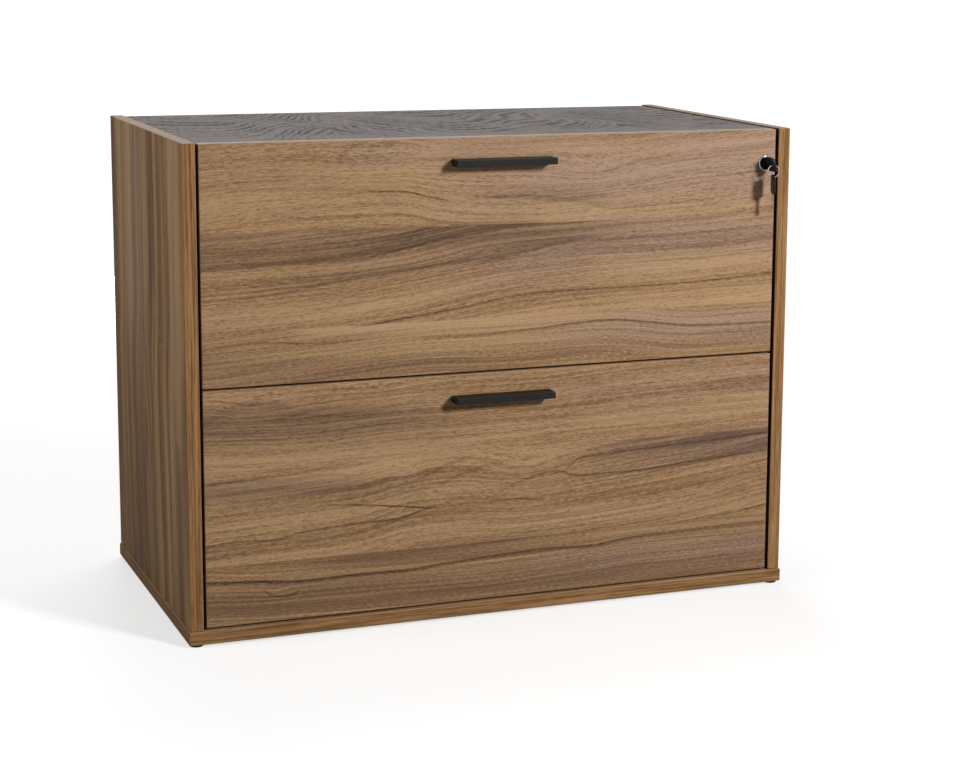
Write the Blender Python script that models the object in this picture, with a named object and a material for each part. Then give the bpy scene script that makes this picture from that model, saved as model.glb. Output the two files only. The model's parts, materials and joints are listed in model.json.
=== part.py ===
"""A two-drawer lateral file: a board case, two full-extension file drawers and a cam lock with keys.

Metres, +Z up, the drawers open towards -Y. The origin is the middle of the footprint, on the floor.
"""

import math

import bmesh
import bpy
from mathutils import Matrix, Vector

# Fits, edges and roundness
FIT = 0.0003  # between pieces that touch
EDGE_RADIUS = 0.0015  # softened edges of the boards that show
EDGE_STEPS = 3
ROUND_SIDES = 24
WIRE_SIDES = 10
CORNER_STEPS = 6
CREASE_ANGLE = math.radians(35)  # round pieces stay smooth below this

# Case boards
CASE_WIDTH = 0.914  # over the outer faces of the side panels
CASE_DEPTH = 0.495  # side panels, front edge to back edge
CASE_HEIGHT = 0.696  # underside of the base to the top of the side panels
BOARD = 0.019  # laminated board of the case and the drawer fronts
BASE_LIP = 0.002  # base past the side panels, at both sides and in front
TOP_DROP = 0.0018  # top panel below the tops of the side panels
TOP_FRONT_GAP = 0.0015  # top panel behind the upper drawer front
BACK_THICKNESS = 0.003
BACK_REBATE = 0.008  # how far the back panel is let into the sides and the top

# Feet and base screws
FOOT_HEIGHT = 0.003
FOOT_DIAMETER = 0.020
FOOT_INSET = 0.012  # foot centre from the edges of the base
FOOT_CHAMFER = 0.0008
FOOT_NAIL_DIAMETER = 0.003
FOOT_NAIL_LENGTH = 0.010
BASE_SCREW_INSET = 0.080  # screw from the front and back edges of the case
BASE_SCREW_LENGTH = 0.050
BASE_SCREW_DIAMETER = 0.006
BASE_SCREW_HEAD = 0.010
BASE_SCREW_HEAD_HEIGHT = 0.003
BASE_SCREW_SINK = 0.0005  # head below the underside of the base

# Drawer fronts
FRONT_SET_BACK = 0.002  # fronts behind the front edges of the side panels
FRONT_SIDE_GAP = 0.004
FRONT_TOP_GAP = 0.0015  # upper front below the tops of the side panels
FRONT_GAP = 0.003  # under each front

# Drawer boxes
BOX_BOARD = 0.012
BOX_RISE = 0.010  # box above the lower edge of its front
BOX_REAR_SPACE = 0.045  # box to the back panel
SHEET = 0.004  # drawer bottom
SHEET_RISE = 0.008  # drawer bottom above the lower edge of the box
SHEET_GROOVE = 0.005

# Hanging-file rails
RAIL_THICKNESS = 0.0025
RAIL_HEIGHT = 0.016
RAIL_SEAT = 0.010  # slot in the top edges of the drawer sides
RAIL_FROM_WALL = 0.0145
RAIL_END = 0.001  # rail short of the outer face of the box

# Ball-bearing slides
SLIDE_THICKNESS = 0.0127
SLIDE_HEIGHT = 0.045
SLIDE_STEEL = 0.0012
SLIDE_LIP = 0.0025  # turned-in edge of the outer member
SLIDE_BALL_RACE = 0.0032  # flange of the middle member with its rows of balls
SLIDE_RISE = 0.100  # slide above the lower edge of the box
SLIDE_START = 0.003  # slide behind the drawer front
SLIDE_SHORT = 0.025  # slide shorter than the box
SLIDE_FACE_GAP = 0.002  # outer member short of the drawer side

# Handles
HANDLE_LENGTH = 0.150
HANDLE_REACH = 0.026
HANDLE_HEIGHT = 0.0095
HANDLE_WALL = 0.003
HANDLE_LEG = 0.008
HANDLE_DROP = 0.030  # handle below the upper edge of its front
HANDLE_EDGE = 0.0006
HANDLE_SCREW_DIAMETER = 0.004
HANDLE_SCREW_HEAD = 0.009
HANDLE_SCREW_HEAD_HEIGHT = 0.0025
HANDLE_SCREW_GRIP = 0.012  # thread inside the handle leg

# Cam lock
LOCK_SIDE = 0.0165  # lock axis from the right edge of the upper front
LOCK_DROP = 0.050  # lock axis below the upper edge of the upper front
LOCK_FACE = 0.0025
LOCK_FACE_DIAMETER = 0.023
LOCK_FACE_CHAMFER = 0.0007
LOCK_BARREL = 0.019
LOCK_BORE = 0.0132
LOCK_TAIL = 0.013  # barrel behind the drawer front
NUT_SIDES = 6
LOCK_NUT_FLATS = 0.0225
LOCK_NUT_HEIGHT = 0.004
LOCK_CLEARANCE = 0.007  # lock nut above the drawer sides
CAM_WIDTH = 0.012
CAM_THICKNESS = 0.0025
CAM_CLEARANCE = 0.0025  # turned cam to the side panel
CAM_SCREW_DIAMETER = 0.004
CAM_SCREW_HEAD = 0.009
CAM_SCREW_HEAD_HEIGHT = 0.0025
CAM_SCREW_GRIP = 0.008  # thread inside the plug
STRIKE_STEEL = 0.0015
STRIKE_REACH = 0.008  # strike out from the side panel
STRIKE_LENGTH = 0.012
STRIKE_HEIGHT = 0.016
STRIKE_GAP = 0.0008  # strike to the turned cam

# Keys and key ring
KEY_HEAD_LENGTH = 0.028
KEY_HEAD_WIDTH = 0.022
KEY_HEAD_THICKNESS = 0.004
KEY_HEAD_CORNER = 0.006
KEY_HOLE = 0.0064
KEY_HOLE_INSET = 0.0055  # hole centre from the end of the head
KEY_BLADE_WIDTH = 0.0075
KEY_BLADE_THICKNESS = 0.002
KEY_STANDOFF = 0.0015  # head of the seated key in front of the lock
KEY_ROOT = 0.004  # blade inside the head
KEY_TILT = math.radians(20)  # seated key leans anticlockwise, seen from the front
SPARE_TURN = math.radians(18)  # hanging key turned to the left, seen from above
KEYWAY_WEB = 0.003  # plug between the keyway and the cam screw
RING_DIAMETER = 0.018  # to the middle of the wire
RING_WIRE = 0.0018

# Planes of the case
half_width = CASE_WIDTH / 2
inner_half = half_width - BOARD
key_reach = LOCK_FACE + KEY_STANDOFF + KEY_HEAD_LENGTH
spare_half = (KEY_HEAD_WIDTH * math.cos(SPARE_TURN) + KEY_HEAD_THICKNESS * math.sin(SPARE_TURN)) / 2
spare_reach = key_reach - KEY_HOLE_INSET + spare_half
front_reach = max(HANDLE_REACH, key_reach, spare_reach) - FRONT_SET_BACK
case_front = (front_reach - CASE_DEPTH) / 2
case_back = case_front + CASE_DEPTH
back_front = case_back - BACK_THICKNESS
front_face = case_front + FRONT_SET_BACK
front_back = front_face + BOARD
base_low = FOOT_HEIGHT + FIT
base_high = base_low + BOARD
side_low = base_high + FIT
side_high = base_low + CASE_HEIGHT
top_high = side_high - TOP_DROP
top_low = top_high - BOARD
front_half = inner_half - FRONT_SIDE_GAP
front_height = (side_high - FRONT_TOP_GAP - base_high - 2 * FRONT_GAP) / 2

# Planes of the drawer boxes and slides
box_half = inner_half - FIT - SLIDE_THICKNESS - FIT
box_back = back_front - BOX_REAR_SPACE
nut_radius = LOCK_NUT_FLATS / 2 / math.cos(math.pi / NUT_SIDES)
box_drop = LOCK_DROP + nut_radius + LOCK_CLEARANCE
slide_front = front_back + SLIDE_START
slide_length = box_back - front_back - SLIDE_SHORT

# The lock axis, the keys and the ring
lock_x = front_half - LOCK_SIDE
lock_z = side_high - FRONT_TOP_GAP - LOCK_DROP
plug_front = front_face - LOCK_FACE
barrel_end = front_back + LOCK_TAIL
cam_reach = inner_half - lock_x - CAM_CLEARANCE
keyway_end = barrel_end - CAM_SCREW_GRIP - FIT - KEYWAY_WEB
blade_length = keyway_end - FIT - plug_front + KEY_STANDOFF
key_hole_y = plug_front - KEY_STANDOFF - KEY_HEAD_LENGTH + KEY_HOLE_INSET
wire_radius = RING_WIRE / 2
ring_radius = RING_DIAMETER / 2
ring_sag = ring_radius - math.sqrt(ring_radius**2 - (KEY_HEAD_THICKNESS / 2) ** 2)
hole_edge_side = (KEY_HEAD_THICKNESS * math.cos(KEY_TILT) + KEY_HOLE * math.sin(KEY_TILT)) / 2
hole_edge_drop = (KEY_HOLE * math.cos(KEY_TILT) - KEY_HEAD_THICKNESS * math.sin(KEY_TILT)) / 2
ring_inside = ring_radius - wire_radius - FIT
ring_drop = hole_edge_drop - ring_radius + math.sqrt(ring_inside**2 - hole_edge_side**2)
ring_z = lock_z - ring_drop - ring_radius
spare_slip = KEY_HEAD_THICKNESS / 2 * math.tan(SPARE_TURN)
spare_space = KEY_HOLE / 2 - FIT - wire_radius / math.cos(SPARE_TURN)
spare_hole_z = ring_z - ring_radius - math.sqrt(spare_space**2 - spare_slip**2) + ring_sag


def clear_scene():
    for obj in list(bpy.data.objects):
        bpy.data.objects.remove(obj, do_unlink=True)


def material(name, colour, roughness, metallic=0.0):
    made = bpy.data.materials.new(name)
    made.use_nodes = True
    shader = made.node_tree.nodes["Principled BSDF"]
    shader.inputs["Base Color"].default_value = (*colour, 1.0)
    shader.inputs["Roughness"].default_value = roughness
    shader.inputs["Metallic"].default_value = metallic
    return made


def hang(obj, carrier):
    """Parent to a carrier, keeping the object's location in world coordinates."""
    obj.parent = carrier
    obj.matrix_parent_inverse = Matrix.Translation(-carrier.location)


def make_carrier(name, place, parent=None):
    """An empty for one moving body, on its joint's axis."""
    empty = bpy.data.objects.new(name, None)
    empty.location = place
    bpy.context.collection.objects.link(empty)
    if parent:
        hang(empty, parent)
    return empty


def make_object(name, shape, place, finish, carrier):
    """A named object from a bmesh or a mesh, at its place on its carrier."""
    mesh = shape
    if isinstance(shape, bmesh.types.BMesh):
        bmesh.ops.recalc_face_normals(shape, faces=shape.faces)
        mesh = bpy.data.meshes.new(name)
        shape.to_mesh(mesh)
        shape.free()
    if finish and not mesh.materials:
        mesh.materials.append(finish)
    obj = bpy.data.objects.new(name, mesh)
    obj.location = place
    bpy.context.collection.objects.link(obj)
    if carrier:
        hang(obj, carrier)
    return obj


def box(name, low, high, finish=None, carrier=None, edge=0.0):
    """A board between two corners, its edges softened where an edge radius is given."""
    low = Vector(low)
    high = Vector(high)
    shape = bmesh.new()
    bmesh.ops.create_cube(shape, size=1.0, matrix=Matrix.Diagonal((*(high - low), 1.0)))
    obj = make_object(name, shape, (low + high) / 2, finish, carrier)
    if edge:
        bevel = obj.modifiers.new("soft edges", "BEVEL")
        bevel.width = edge
        bevel.segments = EDGE_STEPS
    return obj


def extruded(name, outline, axis, place, start, stop, finish=None, carrier=None):
    """A flat outline, about its place, carried along X, Y or Z from start to stop."""
    shape = bmesh.new()
    ends = []
    for along in (start, stop):
        spots = []
        for first, second in outline:
            spot = [first, second]
            spot.insert("XYZ".index(axis), along)
            spots.append(shape.verts.new(spot))
        shape.faces.new(spots)
        ends.append(spots)
    near, far = ends
    for i in range(len(outline)):
        shape.faces.new((near[i - 1], near[i], far[i], far[i - 1]))
    return make_object(name, shape, place, finish, carrier)


def turned(name, profile, axis, place, finish=None, carrier=None, hollow=False):
    """A profile of (radius, distance) points turned about an axis; a hollow profile closes on itself."""
    shape = bmesh.new()
    loops = []
    for radius, along in profile:
        if radius == 0:
            loops.append([shape.verts.new((0, 0, along))] * ROUND_SIDES)
            continue
        angles = [math.tau * (i + 0.5) / ROUND_SIDES for i in range(ROUND_SIDES)]
        spots = [(radius * math.cos(angle), radius * math.sin(angle), along) for angle in angles]
        loops.append([shape.verts.new(spot) for spot in spots])
    if hollow:
        loops.append(loops[0])
    for near, far in zip(loops, loops[1:]):
        for i in range(ROUND_SIDES):
            corners = (near[i - 1], near[i], far[i], far[i - 1])
            shape.faces.new(list(dict.fromkeys(corners)))
    turn = Vector((0, 0, 1)).rotation_difference(Vector(axis)).to_matrix()
    bmesh.ops.rotate(shape, verts=shape.verts, matrix=turn)
    obj = make_object(name, shape, place, finish, carrier)
    obj.data.shade_smooth()
    obj.data.set_sharp_from_angle(angle=CREASE_ANGLE)
    return obj


def rod(name, diameter, start, stop, axis, place, carrier=None):
    """A plain cylinder along an axis, for holes."""
    radius = diameter / 2
    profile = [(0, start), (radius, start), (radius, stop), (0, stop)]
    return turned(name, profile, axis, place, carrier=carrier)


def headed(name, head, head_height, shank, length, axis, place, finish, carrier):
    """A screw or nail: a flat head under its place, and a shank of the given length past the head."""
    profile = [(0, -head_height), (head / 2, -head_height), (head / 2, 0),
               (shank / 2, 0), (shank / 2, length), (0, length)]
    return turned(name, profile, axis, place, finish, carrier)


def combine(target, tools, operation):
    for tool in tools:
        tool.hide_render = True
        tool.display_type = "WIRE"
        modifier = target.modifiers.new(tool.name, "BOOLEAN")
        modifier.operation = operation
        modifier.object = tool


def cut(target, *tools):
    combine(target, tools, "DIFFERENCE")


def rounded(left, low, right, high, corner):
    """The outline of a rectangle with round corners, anticlockwise."""
    centres = ((right - corner, high - corner), (left + corner, high - corner),
               (left + corner, low + corner), (right - corner, low + corner))
    points = []
    for quarter, (across, up) in enumerate(centres):
        for step in range(CORNER_STEPS + 1):
            angle = math.pi / 2 * (quarter + step / CORNER_STEPS)
            points.append((across + corner * math.cos(angle), up + corner * math.sin(angle)))
    return points


def make_finishes():
    return {
        "walnut_front": material("walnut_front", (0.33, 0.21, 0.12), 0.5),
        "walnut_board": material("walnut_board", (0.27, 0.17, 0.095), 0.5),
        "charcoal_top": material("charcoal_top", (0.14, 0.13, 0.125), 0.5),
        "hardboard": material("hardboard", (0.17, 0.10, 0.055), 0.8),
        "box_board": material("box_board", (0.50, 0.47, 0.43), 0.55),
        "black_metal": material("black_metal", (0.02, 0.02, 0.02), 0.45, 0.3),
        "black_plastic": material("black_plastic", (0.015, 0.014, 0.013), 0.4),
        "zinc_steel": material("zinc_steel", (0.55, 0.56, 0.57), 0.35, 1.0),
        "chrome": material("chrome", (0.70, 0.70, 0.70), 0.15, 1.0),
    }


class DrawerLevels:
    """Heights in one drawer, worked up from the lower edge of its front."""

    def __init__(self, front_low):
        self.front_low = front_low
        self.front_high = front_low + front_height
        self.box_low = front_low + BOX_RISE
        self.box_high = self.front_high - box_drop
        self.sheet_low = self.box_low + SHEET_RISE
        self.sheet_high = self.sheet_low + SHEET
        self.slide_middle = self.box_low + SLIDE_RISE
        self.handle_high = self.front_high - HANDLE_DROP
        self.handle_middle = self.handle_high - HANDLE_HEIGHT / 2


def make_side_panel(name, side, finish, case):
    inner = side * inner_half
    outer = side * half_width
    panel = box(name, (min(inner, outer), case_front, side_low),
                (max(inner, outer), case_back, side_high), finish, case, EDGE_RADIUS)
    deep = side * (inner_half + BACK_REBATE)
    past = side * (inner_half - BOARD)
    rebate = box(name + "_rebate_cutter", (min(past, deep), back_front - FIT, side_low - BOARD),
                 (max(past, deep), case_back + BOARD, top_low + BACK_REBATE), carrier=case)
    cut(panel, rebate)
    return panel


def make_case_boards(finishes, case):
    walnut = finishes["walnut_board"]
    panels = {side: make_side_panel(name, side, walnut, case)
              for side, name in ((-1, "left_side_panel"), (1, "right_side_panel"))}
    top_half = inner_half - FIT
    top = box("top_panel", (-top_half, front_back + TOP_FRONT_GAP, top_low),
              (top_half, case_back, top_high), finishes["charcoal_top"], case, EDGE_RADIUS)
    cut(top, box("top_rebate_cutter", (-half_width, back_front - FIT, top_low - BOARD),
                 (half_width, case_back + BOARD, top_low + BACK_REBATE), carrier=case))
    base_half = half_width + BASE_LIP
    base = box("base_panel", (-base_half, case_front - BASE_LIP, base_low),
               (base_half, case_back, base_high), walnut, case, EDGE_RADIUS)
    back_half = inner_half + BACK_REBATE - FIT
    box("back_panel", (-back_half, back_front, base_high + FIT),
        (back_half, case_back, top_low + BACK_REBATE - FIT), finishes["hardboard"], case)
    return base, panels


def make_feet(base, finishes, case):
    """Glides nailed into the underside of the base, near its corners."""
    radius = FOOT_DIAMETER / 2
    nail = FOOT_NAIL_DIAMETER / 2
    tip = FOOT_HEIGHT + FOOT_NAIL_LENGTH
    profile = [(0, 0), (radius - FOOT_CHAMFER, 0), (radius, FOOT_CHAMFER), (radius, FOOT_HEIGHT),
               (nail, FOOT_HEIGHT), (nail, tip), (0, tip)]
    across = half_width + BASE_LIP - FOOT_INSET
    up = (0, 0, 1)
    for row, depth in (("front", case_front - BASE_LIP + FOOT_INSET), ("rear", case_back - FOOT_INSET)):
        for column, side in (("left", -1), ("right", 1)):
            name = f"{row}_{column}_foot"
            place = (side * across, depth, 0)
            turned(name, profile, up, place, finishes["black_plastic"], case)
            cut(base, rod(name + "_cutter", FOOT_NAIL_DIAMETER + 2 * FIT, 0, tip + FIT, up, place, case))


def make_base_screws(base, panels, finishes, case):
    """Screws driven up through the base into the lower edges of the side panels."""
    shoulder = base_low + BASE_SCREW_SINK + BASE_SCREW_HEAD_HEIGHT
    across = half_width - BOARD / 2
    up = (0, 0, 1)
    for row, depth in (("front", case_front + BASE_SCREW_INSET), ("rear", case_back - BASE_SCREW_INSET)):
        for column, side in (("left", -1), ("right", 1)):
            name = f"{row}_{column}_base_screw"
            place = (side * across, depth, shoulder)
            headed(name, BASE_SCREW_HEAD, BASE_SCREW_HEAD_HEIGHT, BASE_SCREW_DIAMETER, BASE_SCREW_LENGTH,
                   up, place, finishes["zinc_steel"], case)
            bore = BASE_SCREW_DIAMETER + 2 * FIT
            hole = rod(name + "_hole_cutter", bore, -BOARD, BASE_SCREW_LENGTH + FIT, up, place, case)
            sink = rod(name + "_sink_cutter", BASE_SCREW_HEAD + 2 * FIT, -BOARD, FIT, up, place, case)
            cut(base, hole, sink)
            cut(panels[side], hole)


def slide_outlines():
    """Cross-sections of a slide as (distance from the side panel, height) points."""
    half = SLIDE_HEIGHT / 2
    steel = SLIDE_STEEL
    mouth = SLIDE_THICKNESS - SLIDE_FACE_GAP
    inside = half - steel
    outer = [(0, half), (mouth, half), (mouth, inside - SLIDE_LIP), (mouth - steel, inside - SLIDE_LIP),
             (mouth - steel, inside), (steel, inside)]
    race = inside - FIT
    hollow = race - SLIDE_BALL_RACE
    web = steel + FIT
    flange = mouth - steel - FIT
    middle = [(web, race), (flange, race), (flange, hollow), (web + steel, hollow)]
    track = hollow - FIT
    lip = web + steel + FIT
    inner = [(SLIDE_THICKNESS, track), (lip, track), (lip, track - steel),
             (SLIDE_THICKNESS - steel, track - steel)]
    return {name: half_shape + [(across, -up) for across, up in reversed(half_shape)]
            for name, half_shape in (("outer", outer), ("middle", middle), ("inner", inner))}


def make_slides(prefix, levels, carriers, finishes):
    """The three members of the left and right slide of one drawer."""
    for column, side in (("left", -1), ("right", 1)):
        for member, outline in slide_outlines().items():
            turned_in = [(-side * across, up) for across, up in outline]
            place = (side * (inner_half - FIT), slide_front, levels.slide_middle)
            extruded(f"{prefix}_{column}_slide_{member}", turned_in, "Y", place, 0, slide_length,
                     finishes["zinc_steel"], carriers[member])


def make_drawer_box(prefix, levels, front, finishes, drawer):
    """The two sides, the back and the bottom that hang behind a drawer front, and the file rails."""
    board = finishes["box_board"]
    rail_spots = (("front", front_back + RAIL_FROM_WALL), ("rear", box_back - BOX_BOARD - RAIL_FROM_WALL))
    box_inner = box_half - BOX_BOARD
    sheet_half = box_inner + SHEET_GROOVE - FIT
    sheet_front = front_back - SHEET_GROOVE + FIT
    groove = box(prefix + "_groove_cutter", (-sheet_half - FIT, sheet_front - FIT, levels.sheet_low - FIT),
                 (sheet_half + FIT, box_back + BOARD, levels.sheet_high + FIT), carrier=drawer)
    rail_half = box_half - RAIL_END
    rail_low = levels.box_high - RAIL_SEAT
    slots = []
    for row, depth in rail_spots:
        near = depth - RAIL_THICKNESS / 2
        far = depth + RAIL_THICKNESS / 2
        box(f"{prefix}_{row}_file_rail", (-rail_half, near, rail_low + FIT),
            (rail_half, far, rail_low + RAIL_HEIGHT), finishes["zinc_steel"], drawer)
        slots.append(box(f"{prefix}_{row}_slot_cutter", (-half_width, near - FIT, rail_low),
                         (half_width, far + FIT, levels.front_high), carrier=drawer))
    for column, side in (("left", -1), ("right", 1)):
        near = min(side * box_half, side * box_inner)
        far = max(side * box_half, side * box_inner)
        wall = box(f"{prefix}_drawer_{column}_side", (near, front_back + FIT, levels.box_low),
                   (far, box_back, levels.box_high), board, drawer)
        cut(wall, groove, *slots)
    box(prefix + "_drawer_back", (-box_inner + FIT, box_back - BOX_BOARD, levels.sheet_high + FIT),
        (box_inner - FIT, box_back, levels.box_high), board, drawer)
    box(prefix + "_drawer_bottom", (-sheet_half, sheet_front, levels.sheet_low),
        (sheet_half, box_back, levels.sheet_high), board, drawer)
    cut(front, groove)


def make_handle(prefix, levels, front, finishes, drawer):
    """A pull, closed on top and at its ends, with a finger space behind its lip, and its two screws."""
    half = HANDLE_LENGTH / 2
    lip = front_face - HANDLE_REACH
    low = levels.handle_high - HANDLE_HEIGHT
    handle = box(prefix + "_handle", (-half, lip, low), (half, front_face - FIT, levels.handle_high),
                 finishes["black_metal"], drawer, HANDLE_EDGE)
    finger = box(prefix + "_finger_cutter", (-half + HANDLE_LEG, lip + HANDLE_WALL, low - HANDLE_HEIGHT),
                 (half - HANDLE_LEG, front_face + FIT, levels.handle_high - HANDLE_WALL), carrier=drawer)
    cut(handle, finger)
    out = (0, -1, 0)
    reach = BOARD + FIT + HANDLE_SCREW_GRIP
    for column, side in (("left", -1), ("right", 1)):
        place = (side * (half - HANDLE_LEG / 2), front_back + FIT, levels.handle_middle)
        name = f"{prefix}_handle_{column}_screw"
        headed(name, HANDLE_SCREW_HEAD, HANDLE_SCREW_HEAD_HEIGHT, HANDLE_SCREW_DIAMETER, reach,
               out, place, finishes["zinc_steel"], drawer)
        bore = HANDLE_SCREW_DIAMETER + 2 * FIT
        hole = rod(name + "_cutter", bore, -BOARD, reach + FIT, out, place, drawer)
        cut(front, hole)
        cut(handle, hole)


def make_drawer(prefix, levels, carriers, finishes):
    drawer = carriers["inner"]
    front = box(prefix + "_drawer_front", (-front_half, front_face, levels.front_low),
                (front_half, front_back, levels.front_high), finishes["walnut_front"], drawer, EDGE_RADIUS)
    make_drawer_box(prefix, levels, front, finishes, drawer)
    make_handle(prefix, levels, front, finishes, drawer)
    make_slides(prefix, levels, carriers, finishes)
    return front


def make_lock_body(front, finishes, drawer, case):
    """The housing in the drawer front, the nut behind it, and the strike on the right side panel."""
    place = (lock_x, front_face, lock_z)
    back = (0, 1, 0)
    rim = LOCK_FACE_DIAMETER / 2
    barrel = LOCK_BARREL / 2
    bore = LOCK_BORE / 2
    tail = barrel_end - front_face
    profile = [(bore, -LOCK_FACE), (rim - LOCK_FACE_CHAMFER, -LOCK_FACE),
               (rim, LOCK_FACE_CHAMFER - LOCK_FACE), (rim, -FIT), (barrel, -FIT),
               (barrel, tail), (bore, tail)]
    turned("lock_housing", profile, back, place, finishes["chrome"], drawer, hollow=True)
    barrel_hole = rod("lock_hole_cutter", LOCK_BARREL + 2 * FIT, -BOARD, 2 * BOARD, back, place, drawer)
    cut(front, barrel_hole)
    turns = [math.tau * (i + 0.5) / NUT_SIDES for i in range(NUT_SIDES)]
    flats = [(nut_radius * math.cos(turn), nut_radius * math.sin(turn)) for turn in turns]
    nut_start = front_back - front_face + FIT
    nut = extruded("lock_nut", flats, "Y", place, nut_start, nut_start + LOCK_NUT_HEIGHT,
                   finishes["zinc_steel"], drawer)
    cut(nut, barrel_hole)
    strike_back = barrel_end + FIT - STRIKE_GAP
    panel = inner_half - FIT
    tip = panel - STRIKE_REACH
    bend = panel - STRIKE_STEEL
    angle = [(panel, strike_back - STRIKE_LENGTH), (panel, strike_back), (tip, strike_back),
             (tip, strike_back - STRIKE_STEEL), (bend, strike_back - STRIKE_STEEL),
             (bend, strike_back - STRIKE_LENGTH)]
    extruded("lock_strike", angle, "Z", (0, 0, lock_z), -STRIKE_HEIGHT / 2, STRIKE_HEIGHT / 2,
             finishes["zinc_steel"], case)


def make_lock_core(finishes, core):
    """The plug that the key turns, the cam on its end and the screw that holds the cam."""
    place = (lock_x, plug_front, lock_z)
    back = (0, 1, 0)
    radius = LOCK_BORE / 2 - FIT
    length = barrel_end - plug_front
    plug = turned("lock_plug", [(0, 0), (radius, 0), (radius, length), (0, length)], back, place,
                  finishes["chrome"], core)
    half_thick = KEY_BLADE_THICKNESS / 2 + FIT
    half_wide = KEY_BLADE_WIDTH / 2 + FIT
    slot = rounded(-half_thick, -half_wide, half_thick, half_wide, half_thick / 2)
    keyway = extruded("keyway_cutter", slot, "Y", place, -LOCK_FACE, keyway_end - plug_front, carrier=core)
    keyway.rotation_euler = (0, -KEY_TILT, 0)
    thread = rod("cam_screw_cutter", CAM_SCREW_DIAMETER + 2 * FIT, length - CAM_SCREW_GRIP - FIT,
                 length + BOARD, back, place, core)
    cut(plug, keyway, thread)
    half = CAM_WIDTH / 2
    cam = extruded("lock_cam", rounded(-half, -half, half, cam_reach, half - FIT), "Y", place, length + FIT,
                   length + FIT + CAM_THICKNESS, finishes["zinc_steel"], core)
    cut(cam, thread)
    seat = (lock_x, barrel_end + 2 * FIT + CAM_THICKNESS, lock_z)
    headed("lock_cam_screw", CAM_SCREW_HEAD, CAM_SCREW_HEAD_HEIGHT, CAM_SCREW_DIAMETER,
           CAM_SCREW_GRIP + CAM_THICKNESS + 2 * FIT, (0, -1, 0), seat, finishes["zinc_steel"], core)


def key_mesh(finish):
    """A key with its blade down and the hole of its head at the origin, in the YZ plane."""
    half_wide = KEY_HEAD_WIDTH / 2
    shoulder = KEY_HOLE_INSET - KEY_HEAD_LENGTH
    half_thick = KEY_HEAD_THICKNESS / 2
    origin = (0, 0, 0)
    outline = rounded(-half_wide, shoulder, half_wide, KEY_HOLE_INSET, KEY_HEAD_CORNER)
    head = extruded("key_head", outline, "X", origin, -half_thick, half_thick, finish)
    blade = box("key_blade", (-KEY_BLADE_THICKNESS / 2, -KEY_BLADE_WIDTH / 2, shoulder - blade_length),
                (KEY_BLADE_THICKNESS / 2, KEY_BLADE_WIDTH / 2, shoulder + KEY_ROOT))
    hole = rod("key_hole", KEY_HOLE, -KEY_HEAD_THICKNESS, KEY_HEAD_THICKNESS, (1, 0, 0), origin)
    combine(head, [blade], "UNION")
    cut(head, hole)
    bpy.context.view_layer.update()
    graph = bpy.context.evaluated_depsgraph_get()
    mesh = bpy.data.meshes.new_from_object(head.evaluated_get(graph))
    for helper in (head, blade, hole):
        bpy.data.objects.remove(helper, do_unlink=True)
    return mesh


def make_keys(finishes, core, ring_carrier, spare_carrier):
    """The key in the lock, the ring through its head, and the spare key on the ring."""
    mesh = key_mesh(finishes["black_plastic"])
    key = make_object("lock_key", mesh, (lock_x, key_hole_y, lock_z), None, core)
    key.rotation_euler = (math.pi / 2, -KEY_TILT, 0)
    wire = [(ring_radius + wire_radius * math.cos(math.tau * i / WIRE_SIDES),
             wire_radius * math.sin(math.tau * i / WIRE_SIDES)) for i in range(WIRE_SIDES)]
    turned("key_ring", wire, (0, 1, 0), (lock_x, key_hole_y, ring_z), finishes["chrome"], ring_carrier,
           hollow=True)
    spare = make_object("spare_key", mesh, (lock_x, key_hole_y, spare_hole_z), None, spare_carrier)
    spare.rotation_euler = (0, 0, -SPARE_TURN)


def main():
    clear_scene()
    finishes = make_finishes()
    case = make_carrier("case", (0, 0, 0))
    base, panels = make_case_boards(finishes, case)
    make_feet(base, finishes, case)
    make_base_screws(base, panels, finishes, case)
    lower = DrawerLevels(base_high + FRONT_GAP)
    upper = DrawerLevels(lower.front_high + FRONT_GAP)
    fronts = {}
    drawers = {}
    for prefix, levels in (("upper", upper), ("lower", lower)):
        on_slides = (0, slide_front, levels.slide_middle)
        drawers[prefix] = make_carrier(prefix + "_drawer", on_slides, case)
        middles = make_carrier(prefix + "_slide_middles", on_slides, case)
        carriers = {"outer": case, "middle": middles, "inner": drawers[prefix]}
        fronts[prefix] = make_drawer(prefix, levels, carriers, finishes)
    make_lock_body(fronts["upper"], finishes, drawers["upper"], case)
    core = make_carrier("lock_core", (lock_x, front_face, lock_z), drawers["upper"])
    ring_carrier = make_carrier("key_ring_swing", (lock_x, key_hole_y, lock_z), core)
    spare_carrier = make_carrier("spare_key_swing", (lock_x, key_hole_y, ring_z), ring_carrier)
    make_lock_core(finishes, core)
    make_keys(finishes, core, ring_carrier, spare_carrier)


main()
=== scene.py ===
"""The looks of a two-drawer lateral file: laminates, metals, keys and small fittings around the part."""

import json
import math
from dataclasses import dataclass

import bmesh
import bpy
from mathutils import Euler, Matrix, Vector


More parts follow.
